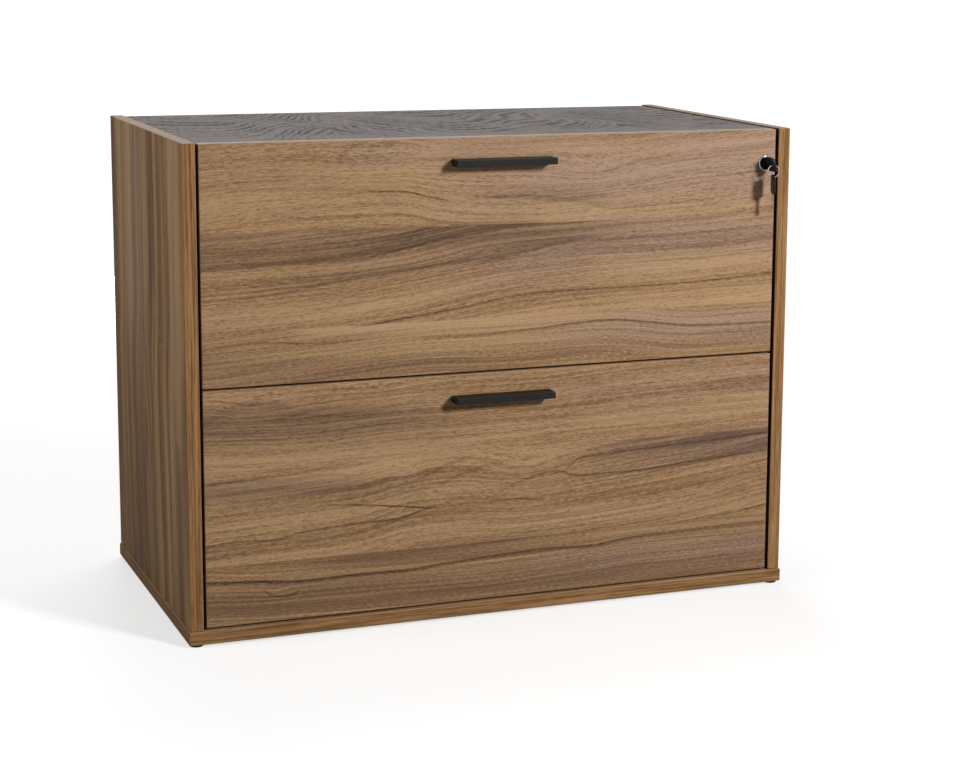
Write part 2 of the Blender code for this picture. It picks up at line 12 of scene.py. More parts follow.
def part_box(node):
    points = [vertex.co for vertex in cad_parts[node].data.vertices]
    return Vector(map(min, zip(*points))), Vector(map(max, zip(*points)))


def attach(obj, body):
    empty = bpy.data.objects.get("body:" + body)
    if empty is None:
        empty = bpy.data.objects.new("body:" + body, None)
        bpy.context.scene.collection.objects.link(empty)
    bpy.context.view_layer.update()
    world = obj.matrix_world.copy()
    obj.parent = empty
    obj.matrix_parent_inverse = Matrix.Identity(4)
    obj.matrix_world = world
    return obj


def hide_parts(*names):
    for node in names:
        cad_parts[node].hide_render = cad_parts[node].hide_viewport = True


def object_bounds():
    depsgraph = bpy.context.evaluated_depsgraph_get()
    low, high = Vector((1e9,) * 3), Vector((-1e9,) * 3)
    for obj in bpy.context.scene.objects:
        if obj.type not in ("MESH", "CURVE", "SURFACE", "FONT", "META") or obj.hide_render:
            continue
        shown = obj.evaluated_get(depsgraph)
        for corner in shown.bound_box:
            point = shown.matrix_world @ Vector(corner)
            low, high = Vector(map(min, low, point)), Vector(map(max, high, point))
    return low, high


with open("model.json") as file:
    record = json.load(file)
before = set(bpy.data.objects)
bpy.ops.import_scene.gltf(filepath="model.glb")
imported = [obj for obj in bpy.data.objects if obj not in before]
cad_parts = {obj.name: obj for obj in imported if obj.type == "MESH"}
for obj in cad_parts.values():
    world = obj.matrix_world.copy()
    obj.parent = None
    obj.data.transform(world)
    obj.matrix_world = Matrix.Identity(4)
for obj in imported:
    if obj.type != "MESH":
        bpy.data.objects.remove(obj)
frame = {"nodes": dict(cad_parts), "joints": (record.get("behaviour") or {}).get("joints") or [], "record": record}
cad_low, cad_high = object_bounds()

MM = 0.001
MIDDLE = (cad_low + cad_high) / 2
SMOOTH_ANGLE = math.radians(38)  # sharper corners stay sharp

# Camera, fitted to the photograph
CAMERA_PLACE = (-1.0901, -3.1093, 0.9659)
CAMERA_YAW = math.radians(22.284)  # to the right of straight at the fronts
CAMERA_PITCH = math.radians(9.764)  # below level
CAMERA_ROLL = math.radians(0.556)
FOCAL_PIXELS = 2187.7
IMAGE_WIDTH = 960
AXIS_ABOVE_MIDDLE = 60  # pixels from the image's middle to the optical axis
AXIS_RIGHT_OF_MIDDLE = 80
SENSOR_WIDTH = 36.0

# Light
KEY_TURN = math.radians(28)  # to the right of straight in front
KEY_RISE = math.radians(23)
KEY_DISTANCE = 4.0
KEY_SIZE = 0.62
KEY_POWER = 133.0
AMBIENT = 0.10
FLOOR_SIDE = 120.0
FLOOR_BOUNCE = 0.33  # paleness of the floor as the part sees it
FLOOR_WHITE = 0.9
FLOOR_GLOW = 1.35
FLOOR_GLOW_NEAR = 0.45  # share of glow beside the part, which keeps its shadow
FLOOR_GLOW_FAR = 0.8
FLOOR_NEAR = 1.0
FLOOR_FAR = 4.2

# Lamps beside the key light: name, place, side and power
LAMPS = (
    ("overhead", (0.2, 1.3, 2.7), 1.4, 31.0),
    ("fill", (-1.7, -0.2, 1.5), 0.7, 11.0),
    ("rear", (0.2, 3.2, 0.36), 0.6, 66.0),  # below the top, so the top does not mirror it
)

# Lock, its radii and depths in millimetres
LOCK_FLANGE = 11.4
LOCK_BARREL = 9.4
LOCK_BORE = 6.6
LOCK_INLAY = 9.5
LOCK_FLANGE_DEPTH = 2.4
LOCK_RECESS = 0.9  # seat of the inlay below the crown of the rim
LOCK_CHAMFER = 0.4
LOCK_GAP = 0.05  # inlay to the metal around it
LOCK_SIDES = 64

# Keys and ring
KEY_HEAD_LENGTH = 28.0 * MM
KEY_HEAD_WIDTH = 22.0 * MM
KEY_HEAD_THICKNESS = 4.0 * MM
KEY_HEAD_CORNER = 6.0 * MM
KEY_HEAD_EDGE = 0.9 * MM  # rounding
KEY_HOLE_RADIUS = 3.2 * MM
KEY_HOLE_INSET = 5.5 * MM  # hole centre from the end of the head
KEY_HOLE_CHAMFER = 0.4 * MM
KEY_HOLE_GAP = 0.02 * MM
KEY_HOLE_SIDES = 32
KEY_DIP_INSET = 3.0 * MM  # thumb dip from the edges of the head
KEY_DIP_DROP = 5.5 * MM  # thumb dip below the hole centre
KEY_DIP_CORNER = 3.5 * MM
KEY_SHOULDER = KEY_HOLE_INSET - KEY_HEAD_LENGTH  # up from the hole centre
KEY_BLADE_WIDTH = 7.4 * MM
KEY_BLADE_THICKNESS = 2.0 * MM
KEY_BLADE_LENGTH = 24.3 * MM
KEY_TILT = math.radians(20)
SPARE_TURN = math.radians(18)
RING_RADIUS = 9.0 * MM
RING_WIRE_WIDE = 0.62 * MM  # half the wire's width, outwards
RING_WIRE_THICK = 0.42 * MM  # half its thickness, sideways
RING_WIRE_SIDES = 12
RING_PITCH = 0.92 * MM
RING_STEPS = 120  # in each turn
RING_START = math.radians(200)
RING_CROSSING = 0.92  # turns to where the wire crosses over
RING_CROSSING_LENGTH = 0.16

# Stands a flat key (across, up, out) in the YZ plane, blade down
KEY_STANDING = Matrix(((0, 0, 1, 0), (1, 0, 0, 0), (0, 1, 0, 0), (0, 0, 0, 1)))

# Screws and nails
SCREW_HEAD_RADIUS = 4.4 * MM
SCREW_HEAD_HEIGHT = 2.4 * MM
SCREW_SHORT = 0.1 * MM  # tip short of the CAD screw's
SCREW_SIDES = 36
PULL_SCREW_SHANK = 1.9 * MM  # radius, like the next
BASE_SCREW_SHANK = 2.9 * MM
SLIDE_SCREW_RADIUS = 3.4 * MM
SLIDE_SCREW_HEIGHT = 1.8 * MM
SLIDE_SCREW_SHANK = 1.6 * MM
SLIDE_SCREW_LENGTH = 1.0 * MM
SLIDE_SCREW_SEAT = 1.25 * MM  # from the drawer side, over the inner member's steel
SLIDE_SCREW_PLACES = (0.08, 0.45, 0.90)  # shares of the member's length
NAIL_HEAD_RADIUS = 2.6 * MM
NAIL_HEAD_HEIGHT = 0.9 * MM
NAIL_SIDES = 20
NAIL_SPACING = 105.0 * MM
NAIL_INSET = 4.0 * MM  # from the edge of the back panel


def srgb(red, green, blue):
    """A colour in 8-bit sRGB, as the linear RGBA that sockets take."""
    linear = []
    for level in (red, green, blue):
        share = level / 255
        linear.append(share / 12.92 if share <= 0.04045 else ((share + 0.055) / 1.055) ** 2.4)
    return (*linear, 1.0)


# Shader building

NOISE_SPREAD = (0.3, 0.7)  # most of a noise lies between these
FACE_TURN = (0.55, 0.8)  # of a normal, from off a board's face to on it


class Field:
    """A node's output, with arithmetic that adds Math nodes."""

    def __init__(self, nodes, socket):
        self.nodes = nodes
        self.socket = socket

    def __add__(self, other):
        return self.nodes.math("ADD", self, other)

    def __sub__(self, other):
        return self.nodes.math("SUBTRACT", self, other)

    def __rsub__(self, other):
        return self.nodes.math("SUBTRACT", other, self)

    def __mul__(self, other):
        return self.nodes.math("MULTIPLY", self, other)

    def __abs__(self):
        return self.nodes.math("ABSOLUTE", self)

    __radd__ = __add__
    __rmul__ = __mul__


class Nodes:
    """A node tree and short calls for adding to it; inputs are fields or plain values."""

    def __init__(self, tree):
        self.tree = tree

    def plug(self, socket, value):
        if isinstance(value, Field):
            self.tree.links.new(value.socket, socket)
        else:
            socket.default_value = value

    def node(self, kind, inputs, output=0, **settings):
        """Add a node with these inputs, and give back one of its outputs."""
        node = self.tree.nodes.new("ShaderNode" + kind)
        for name, value in settings.items():
            setattr(node, name, value)
        for socket, value in inputs.items():
            self.plug(node.inputs[socket], value)
        return Field(self, node.outputs[output])

    def math(self, operation, first, second=0.0):
        return self.node("Math", {0: first, 1: second}, operation=operation)

    def span(self, value, low, high, to_low=0.0, to_high=1.0, way="SMOOTHSTEP"):
        """The value's way from low to high, as a number from to_low to to_high."""
        inputs = {"Value": value, "From Min": low, "From Max": high, "To Min": to_low, "To Max": to_high}
        return self.node("MapRange", inputs, interpolation_type=way)

    def split(self, vector):
        return [self.node("SeparateXYZ", {0: vector}, axis) for axis in "XYZ"]

    def highest(self, first, second, third):
        return self.math("MAXIMUM", self.math("MAXIMUM", first, second), third)

    def seen_directly(self):
        """1 for rays from the camera, and for what gloss or glass shows."""
        return self.highest(*(self.node("LightPath", {}, f"Is {kind} Ray")
                              for kind in ("Camera", "Glossy", "Transmission")))


class Shader(Nodes):
    """A material and the calls that paint it."""

    def __init__(self, name, **constants):
        self.material = bpy.data.materials.new(name)
        self.material.use_nodes = True
        super().__init__(self.material.node_tree)
        self.surface = self.tree.nodes["Principled BSDF"]
        for socket, value in constants.items():
            self.set(socket.replace("_", " "), value)
        self.place = self.node("TexCoord", {}, "Object")
        self.normal = self.node("TexCoord", {}, "Normal")

    def set(self, socket, value):
        self.plug(self.surface.inputs[socket], value)

    def noise(self, along, across, scale, seed=0.0, detail=2.0, roughness=0.5):
        """Smooth noise from 0 to 1; scale is a pair, per metre along and across the grain."""
        place = self.node("CombineXYZ", {0: along * scale[0], 1: across * scale[1], 2: seed})
        inputs = {"Vector": place, "Scale": 1.0, "Detail": detail, "Roughness": roughness}
        return self.node("TexNoise", inputs)

    def speckle(self, scale, detail=3.0):
        """The same noise in all directions, scale per metre."""
        return self.node("TexNoise", {"Vector": self.place, "Scale": scale, "Detail": detail})

    def curve(self, value, points):
        """A smooth curve through a few (from, to) points, both from 0 to 1, level past its ends."""
        node = self.tree.nodes.new("ShaderNodeFloatCurve")
        self.plug(node.inputs["Value"], value)
        node.mapping.extend = "HORIZONTAL"
        spots = node.mapping.curves[0].points
        spots[0].location = points[0]
        spots[1].location = points[-1]
        for point in points[1:-1]:
            spots.new(*point)
        for spot in spots:
            spot.handle_type = "AUTO_CLAMPED"
        node.mapping.update()
        return Field(self, node.outputs[0])

    def mix(self, factor, first, second):
        """A blend of two colours, which a Mix node takes as its inputs 6 and 7."""
        return self.node("Mix", {"Factor": factor, 6: first, 7: second}, 2, data_type="RGBA")

    def finish(self, colour, grain, low, high, relief, depth):
        """Set the colour, and give one grain to the roughness, from low to high, and to the bump."""
        self.set("Base Color", colour)
        self.set("Roughness", self.span(grain, *NOISE_SPREAD, low, high, "LINEAR"))
        self.set("Normal", self.node("Bump", {"Strength": relief, "Distance": depth, "Height": grain}))
        return self.material

    def face_share(self, axis):
        """1 on the faces that look along an axis (0, 1 or 2), 0 on the others."""
        return self.span(abs(self.split(self.normal)[axis]), *FACE_TURN)

    def worn(self, colour, share, edge):
        """A colour with some of another one on the rounded edges."""
        flat = self.highest(*(abs(part) for part in self.split(self.normal)))
        return self.mix(self.span(flat, 0.995, 0.80) * share, colour, edge)


# Walnut laminate

WALNUT_LIGHT = srgb(180, 145, 108)
WALNUT_DARK = srgb(120, 90, 62)
WALNUT_PALE = srgb(190, 157, 120)
# rosy colours: partly the wood's pink tone, partly a painted sheen, the greyish pink where the key light falls
WALNUT_ROSY_SHEEN_PALE = srgb(173, 143, 122)
WALNUT_ROSY_SHEEN_DEEP = srgb(119, 93, 77)
WALNUT_SHADE = srgb(80, 63, 56)
WALNUT_VEIN = srgb(62, 44, 34)

# Layers of the grain, as scales per metre along and across it
SLOW_SCALE = (2.2, 7.0)
QUICK_SCALE = (9.0, 40.0)
BAND_SCALE = (0.9, 30.0)
LINE_SCALE = (3.2, 280.0)
FIBRE_SCALE = (95.0, 820.0)
PORE_SCALE = (160.0, 1000.0)

# How far the figure wanders from its course, in metres
SLOW_WANDER = 0.008
QUICK_WANDER = 0.003
GRAIN_WANDER = 0.018

# Weights of the layers in the tone, and tones of the lightest and darkest wood
LINE_WEIGHT = 0.95
FIBRE_WEIGHT = 0.7
PORE_WEIGHT = 0.7
DASH_WEIGHT = 0.24  # dark dashes at deep fibres and pores
LIGHT_TONE = 0.34
DARK_TONE = -0.36
LINE_SPREAD = (0.30, 0.66)  # most of the lines lie between these

PLANK_JOINT = 0.5  # millimetres to each side of a joint
PLANK_SEED_STEP = 7.3


@dataclass
class Sheet:
    """A printed wood figure, in millimetres from its lower left corner.

    planks: (lower edge, tone, points of (along, rise of the grain)) from the bottom up
    lights, rosy, shades and veins: (softness above, softness below, points of (along, up, strength)); the rosy
    streaks are partly the wood's pink tone and partly painted sheen
    knots: (along, up, half length, half height, lift of the grain)
    banding: how much the broad bands of the grain differ in tone
    """

    length: float
    height: float
    planks: tuple
    lights: tuple = ()
    # streaks partly of pink wood tone, partly of painted sheen
    rosy_sheen: tuple = ()
    shades: tuple = ()
    veins: tuple = ()
    knots: tuple = ()
    seed: float = 0.0
    banding: float = 0.7


def streak_mask(shader, sheet, share, across, streak):
    """How strong a streak is here, by the distance from its line and the place along it."""
    above, below, points = streak
    line = shader.curve(share, [(x / sheet.length, up / sheet.height) for x, up, _ in points])
    strength = shader.curve(share, [(x / sheet.length, dark) for x, _, dark in points])
    gap = across - line * (sheet.height * MM)
    return shader.span(gap, 0.0, above * MM, 1.0, 0.0) * shader.span(gap, -below * MM, 0.0) * strength


def knot_lift(shader, along, across, knot):
    """How far one knot pushes the grain aside here."""
    x, up, long, tall, lift = knot
    reach = (along - x * MM) * (1 / (long * MM))
    rise = (across - up * MM) * (1 / (tall * MM))
    return shader.math("EXPONENT", (reach * reach + rise * rise) * -1.0) * (lift * MM)


def plank_flow(shader, sheet, share, across):
    """The rise of the grain, the tone and a seed, each changing from plank to plank."""
    steepest = max(rise for _, _, points in sheet.planks for _, rise in points)
    flow, tone, seed = 0.0, 0.0, sheet.seed
    for number, (edge, shift, points) in enumerate(sheet.planks):
        rise = shader.curve(share, [(x / sheet.length, up / steepest) for x, up in points]) * (steepest * MM)
        if number == 0:
            flow, tone = rise, shift
            continue
        here = shader.span(across, (edge - PLANK_JOINT) * MM, (edge + PLANK_JOINT) * MM)
        flow = flow + here * (rise - flow)
        tone = tone + here * (shift - tone)
        seed = seed + here * PLANK_SEED_STEP
    return flow, tone, seed


def walnut_figure(shader, sheet, along, across):
    """The colour and pore depth of a sheet at a place along and across its grain."""
    share = along * (1 / (sheet.length * MM))
    slow = shader.noise(along, across, SLOW_SCALE, sheet.seed + 1.0) - 0.5
    quick = shader.noise(along, across, QUICK_SCALE, sheet.seed + 2.0) - 0.5
    lined = across + (slow * SLOW_WANDER + quick * QUICK_WANDER)
    flow, shift, seed = plank_flow(shader, sheet, share, across)
    grain = lined - flow + slow * GRAIN_WANDER
    for knot in sheet.knots:
        grain = grain + knot_lift(shader, along, lined, knot)

    bands = shader.noise(along, grain, BAND_SCALE, seed + 3.0)
    lines = shader.noise(along, grain, LINE_SCALE, seed + 4.0, 3.0, 0.6)
    fibres = shader.noise(along, grain, FIBRE_SCALE, seed + 5.0, 2.0, 0.6)
    pores = shader.noise(along, grain, PORE_SCALE, seed + 6.0, 1.0)
    tone = (bands - 0.5) * sheet.banding + (lines - 0.5) * LINE_WEIGHT
    tone = tone + (fibres - 0.5) * FIBRE_WEIGHT + (pores - 0.5) * PORE_WEIGHT + shift
    depth = shader.span(tone, LIGHT_TONE, DARK_TONE)

    def lay(colour, streaks, strength, ink):
        """Lay streaks of an ink over a colour, broken up by a strength."""
        if not streaks:
            return colour
        bare = 1.0
        for streak in streaks:
            bare = bare * (1.0 - streak_mask(shader, sheet, share, lined, streak))
        return shader.mix((1.0 - bare) * strength, colour, ink)

    colour = shader.mix(depth, WALNUT_LIGHT, WALNUT_DARK)
    # rosy streaks: pink tone of the wood, partly a painted sheen
    colour = lay(colour, sheet.rosy_sheen, 1.0, shader.mix(depth, WALNUT_ROSY_SHEEN_PALE, WALNUT_ROSY_SHEEN_DEEP))
    colour = lay(colour, sheet.lights, shader.span(lines, *LINE_SPREAD, 0.7, 1.2), WALNUT_PALE)
    colour = lay(colour, sheet.shades, shader.span(lines, *LINE_SPREAD, 1.22, 0.64), WALNUT_SHADE)
    dashes = shader.span(fibres, 0.38, 0.22) * DASH_WEIGHT + shader.span(pores, 0.4, 0.25) * DASH_WEIGHT
    colour = shader.mix(dashes, colour, WALNUT_VEIN)
    colour = lay(colour, sheet.veins, shader.span(fibres, *NOISE_SPREAD, 1.3, 0.75), WALNUT_VEIN)
    return colour, fibres * 0.6 + pores * 0.4


UPPER_FRONT = Sheet(
    868, 335,
    planks=(
        (0, -0.02, ((0, 0), (200, 14), (350, 20), (470, 18), (600, 22), (740, 10), (868, 8))),
        (76, 0, ((0, 0), (125, 6), (280, 20), (340, 29), (450, 42), (650, 50), (868, 60))),
        (210, 0.04, ((0, 6), (150, 14), (260, 16), (340, 6), (420, 0), (600, 4), (740, 14), (868, 24))),
    ),
    lights=(
        (3, 22, ((120, 75, 0), (180, 75, 0.5), (300, 75, 0.65), (500, 75, 0.55), (600, 75, 0.2),
                 (700, 75, 0))),
        (14, 20, ((180, 92, 0), (240, 104, 0.3), (330, 116, 0.24), (420, 128, 0.06), (480, 134, 0))),
        (20, 30, ((560, 150, 0), (640, 150, 0.3), (760, 150, 0.35), (868, 156, 0.3))),
        (20, 26, ((560, 92, 0), (680, 92, 0.35), (868, 98, 0.4))),
        (30, 20, ((260, 312, 0), (350, 318, 0.35), (520, 320, 0.4), (640, 318, 0.2), (760, 316, 0))),
        (16, 18, ((330, 226, 0), (430, 224, 0.25), (560, 222, 0.25), (660, 222, 0))),
    ),
    # painted sheen, in part: the upper front washed pinker and greyer towards its right, nearer the key light
    rosy_sheen=(
        (30, 30, ((160, 318, 0), (300, 318, 0.7), (560, 318, 0.8), (868, 318, 0.6))),
        (60, 80, ((300, 280, 0), (420, 280, 0.5), (600, 278, 0.9), (868, 280, 1))),
        (50, 70, ((300, 150, 0), (480, 160, 0.6), (620, 180, 0.8), (868, 180, 0.8))),
        (40, 50, ((460, 50, 0), (600, 50, 0.6), (868, 46, 0.8))),
    ),
    shades=(
        (0.8, 60, ((0, 210, 0.35), (200, 210, 0.37), (430, 209, 0.53), (540, 209, 0.44), (700, 210, 0.14),
                   (868, 210, 0))),
        (46, 3, ((0, 163, 0.28), (150, 169, 0.32), (280, 182, 0.38), (340, 192, 0.4), (450, 205, 0.3),
                 (520, 208, 0))),
        (32, 5, ((50, 122, 0), (110, 130, 0.28), (210, 144, 0.38), (370, 158, 0.34), (450, 166, 0.3),
                 (525, 180, 0.24), (600, 190, 0))),
        (16, 40, ((0, 30, 0.3), (150, 26, 0.32), (350, 14, 0.24), (520, 10, 0.06), (640, 8, 0))),
        (16, 20, ((380, 262, 0), (470, 255, 0.24), (560, 248, 0.28), (600, 240, 0.16), (660, 238, 0))),
        (10, 26, ((250, 205, 0), (330, 196, 0.22), (430, 190, 0.26), (520, 192, 0.16), (640, 196, 0))),
        (10, 14, ((640, 300, 0), (700, 292, 0.16), (800, 304, 0.16), (868, 312, 0.12))),
    ),
    veins=(
        (3.5, 3, ((0, 162, 0.55), (75, 165, 0.5), (150, 168, 0.45), (225, 172, 0.5), (280, 181, 0.65),
                  (340, 191, 0.6), (400, 199, 0.4), (450, 204, 0.2), (470, 205, 0))),
        (6, 2.2, ((120, 127, 0), (200, 142, 0.42), (280, 152, 0.36), (370, 159, 0.36), (450, 166, 0.4),
                  (525, 179, 0.2), (560, 184, 0))),
        (1.8, 3.2, ((205, 74, 0), (240, 77, 0.55), (280, 82, 0.8), (325, 88, 0.8), (380, 95, 0.6),
                    (450, 105, 0.5), (500, 108, 0.55), (650, 110, 0.5), (750, 113, 0.55), (868, 121, 0.5))),
        (1.6, 4, ((0, 54, 0.45), (85, 60, 0.5), (165, 55, 0.35), (235, 57, 0.1), (260, 58, 0))),
        (1.8, 5, ((300, 54, 0), (330, 54, 0.3), (400, 53, 0.45), (475, 56, 0.5), (550, 61, 0.65),
                  (600, 63, 0.65), (665, 57, 0.65), (740, 49, 0.65), (868, 46, 0.6))),
        (1.4, 3, ((235, 262, 0), (250, 262, 0.5), (290, 261, 0.75), (320, 254, 0.65), (350, 247, 0.3),
                  (365, 244, 0))),
        (1.4, 3, ((0, 212, 0.2), (250, 211, 0.25), (430, 210, 0.35), (560, 209, 0.15), (620, 209, 0))),
        (3, 7, ((380, 250, 0), (410, 250, 0.26), (460, 251, 0.3), (520, 246, 0.3), (560, 240, 0.24),
                (590, 236, 0))),
        (3, 6, ((30, 272, 0), (60, 271, 0.2), (150, 268, 0.2), (240, 262, 0.18), (290, 254, 0))),
    ),
    knots=((348, 267, 12, 6, 4), (580, 228, 15, 8, -6), (230, 300, 110, 26, 16), (740, 45, 15, 6, 4),
           (635, 2, 30, 11, 8), (575, 284, 60, 18, 12)),
    seed=11.0,
)

LOWER_FRONT = Sheet(
    868, 335,
    planks=(
        (0, -0.08, ((0, 16), (120, 6), (300, 2), (500, 4), (650, 10), (868, 12))),
        (86, 0.02, ((0, 0), (200, 8), (350, 26), (480, 18), (600, 24), (740, 34), (868, 52))),
        (219, 0, ((0, 8), (120, 2), (260, 6), (434, 8), (650, 16), (868, 22))),
    ),
    lights=(
        (16, 10, ((0, 130, 0), (200, 136, 0.04), (250, 138, 0.08), (320, 142, 0.08), (345, 144, 0))),
        (26, 30, ((260, 112, 0), (340, 116, 0.15), (480, 118, 0.24), (620, 112, 0.28), (760, 106, 0.3),
                  (868, 110, 0.15))),
        (20, 30, ((520, 255, 0), (640, 256, 0.3), (868, 262, 0.35))),
        (3, 12, ((560, 80, 0), (640, 80, 0.3), (868, 80, 0.4))),
        (12, 16, ((200, 226, 0), (280, 222, 0.3), (340, 226, 0.2), (420, 230, 0))),
    ),
    # painted sheen, in part: the lower front washed pinker towards its right, nearer the key light
    rosy_sheen=(
        (50, 60, ((480, 300, 0), (620, 300, 0.35), (868, 300, 0.35))),
        (40, 50, ((420, 40, 0), (560, 40, 0.5), (868, 40, 0.7))),
        (40, 40, ((560, 200, 0), (700, 200, 0.5), (868, 200, 0.6))),
    ),
    shades=(
        (0.8, 50, ((520, 219, 0), (585, 219, 0.18), (640, 219, 0.4), (760, 219, 0.53), (868, 220, 0.55))),
        (1.5, 34, ((120, 85, 0), (180, 85, 0.25), (250, 85, 0.42), (400, 84, 0.4), (550, 87, 0.16),
                   (640, 87, 0.05), (868, 86, 0.05))),
        (24, 26, ((0, 190, 0.58), (120, 188, 0.58), (220, 184, 0.4), (300, 178, 0.14), (340, 176, 0))),
        (30, 4, ((540, 171, 0), (650, 172, 0.24), (750, 178, 0.32), (868, 187, 0.36))),
        (1.5, 26, ((0, 301, 0.2), (30, 309, 0.32), (80, 320, 0.4), (100, 318, 0.38), (130, 302, 0.34),
                   (170, 298, 0.3), (230, 300, 0.22), (280, 292, 0))),
        (30, 60, ((0, 36, 0.28), (300, 34, 0.28), (600, 28, 0.18), (868, 26, 0.14))),
        (44, 70, ((0, 286, 0.52), (150, 284, 0.52), (280, 276, 0.38), (360, 270, 0.18), (420, 268, 0))),
        (14, 16, ((620, 130, 0), (680, 134, 0.1), (760, 140, 0.2), (868, 148, 0.34))),
        (18, 30, ((480, 12, 0), (600, 14, 0.12), (740, 12, 0.14), (868, 16, 0.08))),
    ),
    veins=(
        (1.7, 3.4, ((0, 116, 0.55), (45, 121, 0.6), (90, 119, 0.55), (145, 126, 0.55), (200, 130, 0.6),
                    (280, 132, 0.7), (305, 139, 0.7), (328, 144, 0.45), (340, 146, 0))),
        (1.6, 3, ((165, 162, 0), (190, 160, 0.35), (240, 155, 0.75), (290, 148, 0.8), (332, 143, 0.5),
                  (350, 141, 0))),
        (1.5, 2.6, ((415, 145, 0), (430, 145, 0.5), (460, 145, 0.65), (495, 141, 0.4), (505, 140, 0))),
        (3.2, 7, ((0, 66, 0.85), (70, 61, 0.9), (150, 54, 0.8), (215, 55, 0.85), (280, 54, 0.8),
                  (350, 59, 0.7), (400, 62, 0.75), (500, 65, 0.7), (575, 63, 0.75), (640, 69, 0.7),
                  (725, 72, 0.6), (868, 74, 0.45))),
        (1.8, 5, ((535, 180, 0), (545, 188, 0.35), (555, 197, 0.55), (600, 201, 0.5), (700, 204, 0.55),
                  (868, 213, 0.55))),
        (1.8, 6, ((430, 158, 0), (450, 166, 0.3), (480, 175, 0.45), (515, 181, 0.45), (565, 171, 0.6),
                  (650, 171, 0.55), (750, 177, 0.55), (868, 186, 0.6))),
        (2, 8, ((330, 172, 0), (350, 180, 0.25), (380, 192, 0.35), (410, 199, 0.3), (440, 203, 0.2),
                (460, 205, 0))),
        (2, 8, ((285, 180, 0), (305, 186, 0.2), (330, 196, 0.3), (360, 207, 0.28), (385, 213, 0.2),
                (400, 216, 0))),
        (1.4, 2.6, ((72, 54, 0), (82, 47, 0.5), (95, 38, 0.75), (120, 35, 0.75), (132, 41, 0.45),
                    (138, 44, 0))),
        (2, 4, ((700, 84, 0), (730, 87, 0.25), (800, 93, 0.42), (868, 100, 0.48))),
        (2.5, 6, ((80, 288, 0), (120, 291, 0.35), (140, 293, 0.35), (180, 288, 0.25), (230, 286, 0.25),
                  (270, 287, 0))),
        (2.5, 6, ((0, 203, 0.3), (60, 204, 0.3), (120, 202, 0.25), (160, 205, 0.25), (220, 201, 0))),
    ),
    knots=((65, 306, 48, 14, 9), (127, 294, 14, 7, 5), (290, 204, 16, 12, 8), (100, 42, 18, 8, 4),
           (250, 320, 70, 10, 8), (470, 190, 60, 18, 14)),
    seed=41.0,
)

SIDE_FACE = Sheet(
    677, 495,
    planks=((0, -0.02, ((0, 0), (180, 14), (300, 20), (420, 6), (677, 0))),),
    # painted light, in part: the two broad pale streaks follow pale bands of the figure and grow towards the top
    # of the side, which is more lit
    lights=(
        (60, 60, ((330, 380, 0), (420, 370, 0.45), (677, 365, 0.65))),
        (40, 40, ((300, 70, 0), (400, 70, 0.4), (677, 70, 0.6))),
        (6, 7, ((20, 100, 0), (60, 100, 0.5), (230, 99, 0.5), (270, 99, 0))),
    ),
    # painted light, in part: the rosy band grows towards the top of the side
    rosy_sheen=((90, 110, ((250, 330, 0), (400, 330, 0.7), (677, 330, 1))),),
    shades=(
        (30, 40, ((0, 480, 0.4), (350, 480, 0.6), (677, 482, 0.75))),
        # the figure's dark band, its lower end partly deepened as painted shade
        (42, 46, ((0, 250, 0.3), (200, 250, 0.32), (300, 254, 0.36), (400, 236, 0.54), (480, 216, 0.72),
                  (677, 214, 0.74))),
        (36, 34, ((0, 50, 0.5), (200, 52, 0.48), (265, 56, 0))),
        # painted shade: a broad darkening of the lower side, where less light falls
        (120, 150, ((0, 350, 0.6), (200, 350, 0.5), (330, 350, 0.2), (420, 350, 0))),
        (30, 30, ((300, 150, 0), (420, 150, 0.26), (677, 150, 0.3))),
    ),
    veins=(
        (4, 9, ((170, 236, 0), (200, 240, 0.4), (290, 254, 0.45), (370, 274, 0.4), (400, 280, 0))),
        (4, 9, ((170, 244, 0), (200, 236, 0.35), (290, 222, 0.4), (380, 204, 0.4), (420, 200, 0))),
        (3, 10, ((0, 108, 0.4), (120, 110, 0.4), (240, 114, 0.25), (330, 118, 0.3), (677, 116, 0.3))),
        (3, 8, ((300, 180, 0), (400, 184, 0.3), (560, 190, 0.4), (677, 196, 0.4))),
        (3, 8, ((0, 300, 0.4), (110, 292, 0.4), (200, 284, 0.3), (260, 280, 0))),
        (3, 8, ((430, 350, 0), (520, 346, 0.3), (677, 348, 0.35))),
    ),
    knots=((230, 250, 70, 26, 22), (120, 330, 50, 16, -12)),
    seed=71.0,
    banding=1.3,
)

BASE_FACE = Sheet(918, 497, planks=((0, 0, ((0, 0), (300, 12), (918, 4))),), seed=91.0)

EDGE_BAND_LIGHT = srgb(167, 128, 87)
EDGE_BAND_DARK = srgb(115, 81, 48)
WORN_EDGE = srgb(182, 152, 120)
# painted sheen: a pale colour laid on the upward faces of the banded edges
PAINTED_EDGE_SHEEN = srgb(166, 151, 140)
# painted shade: dark foil on the inner faces, so the gaps beside the drawers read as deep shadow
PAINTED_SHADE_FOIL_LIGHT = srgb(64, 53, 46)
PAINTED_SHADE_FOIL_DARK = srgb(44, 36, 31)


def edge_band_colour(shader, along, across, seed):
    """Fine straight grain on the banded edges of the boards."""
    coarse = shader.noise(along, across, (5.0, 300.0), seed)
    fine = shader.noise(along, across, (30.0, 800.0), seed + 1.0)
    tone = coarse * 0.6 + fine * 0.4
    return shader.mix(shader.span(tone, 0.64, 0.36), EDGE_BAND_LIGHT, EDGE_BAND_DARK)


def finish_board(shader, colour, pores):
    """Soft sheen, pores and lighter worn edges of a laminated board."""
    return shader.finish(shader.worn(colour, 0.35, WORN_EDGE), pores, 0.62, 0.50, 0.15, 0.0003)


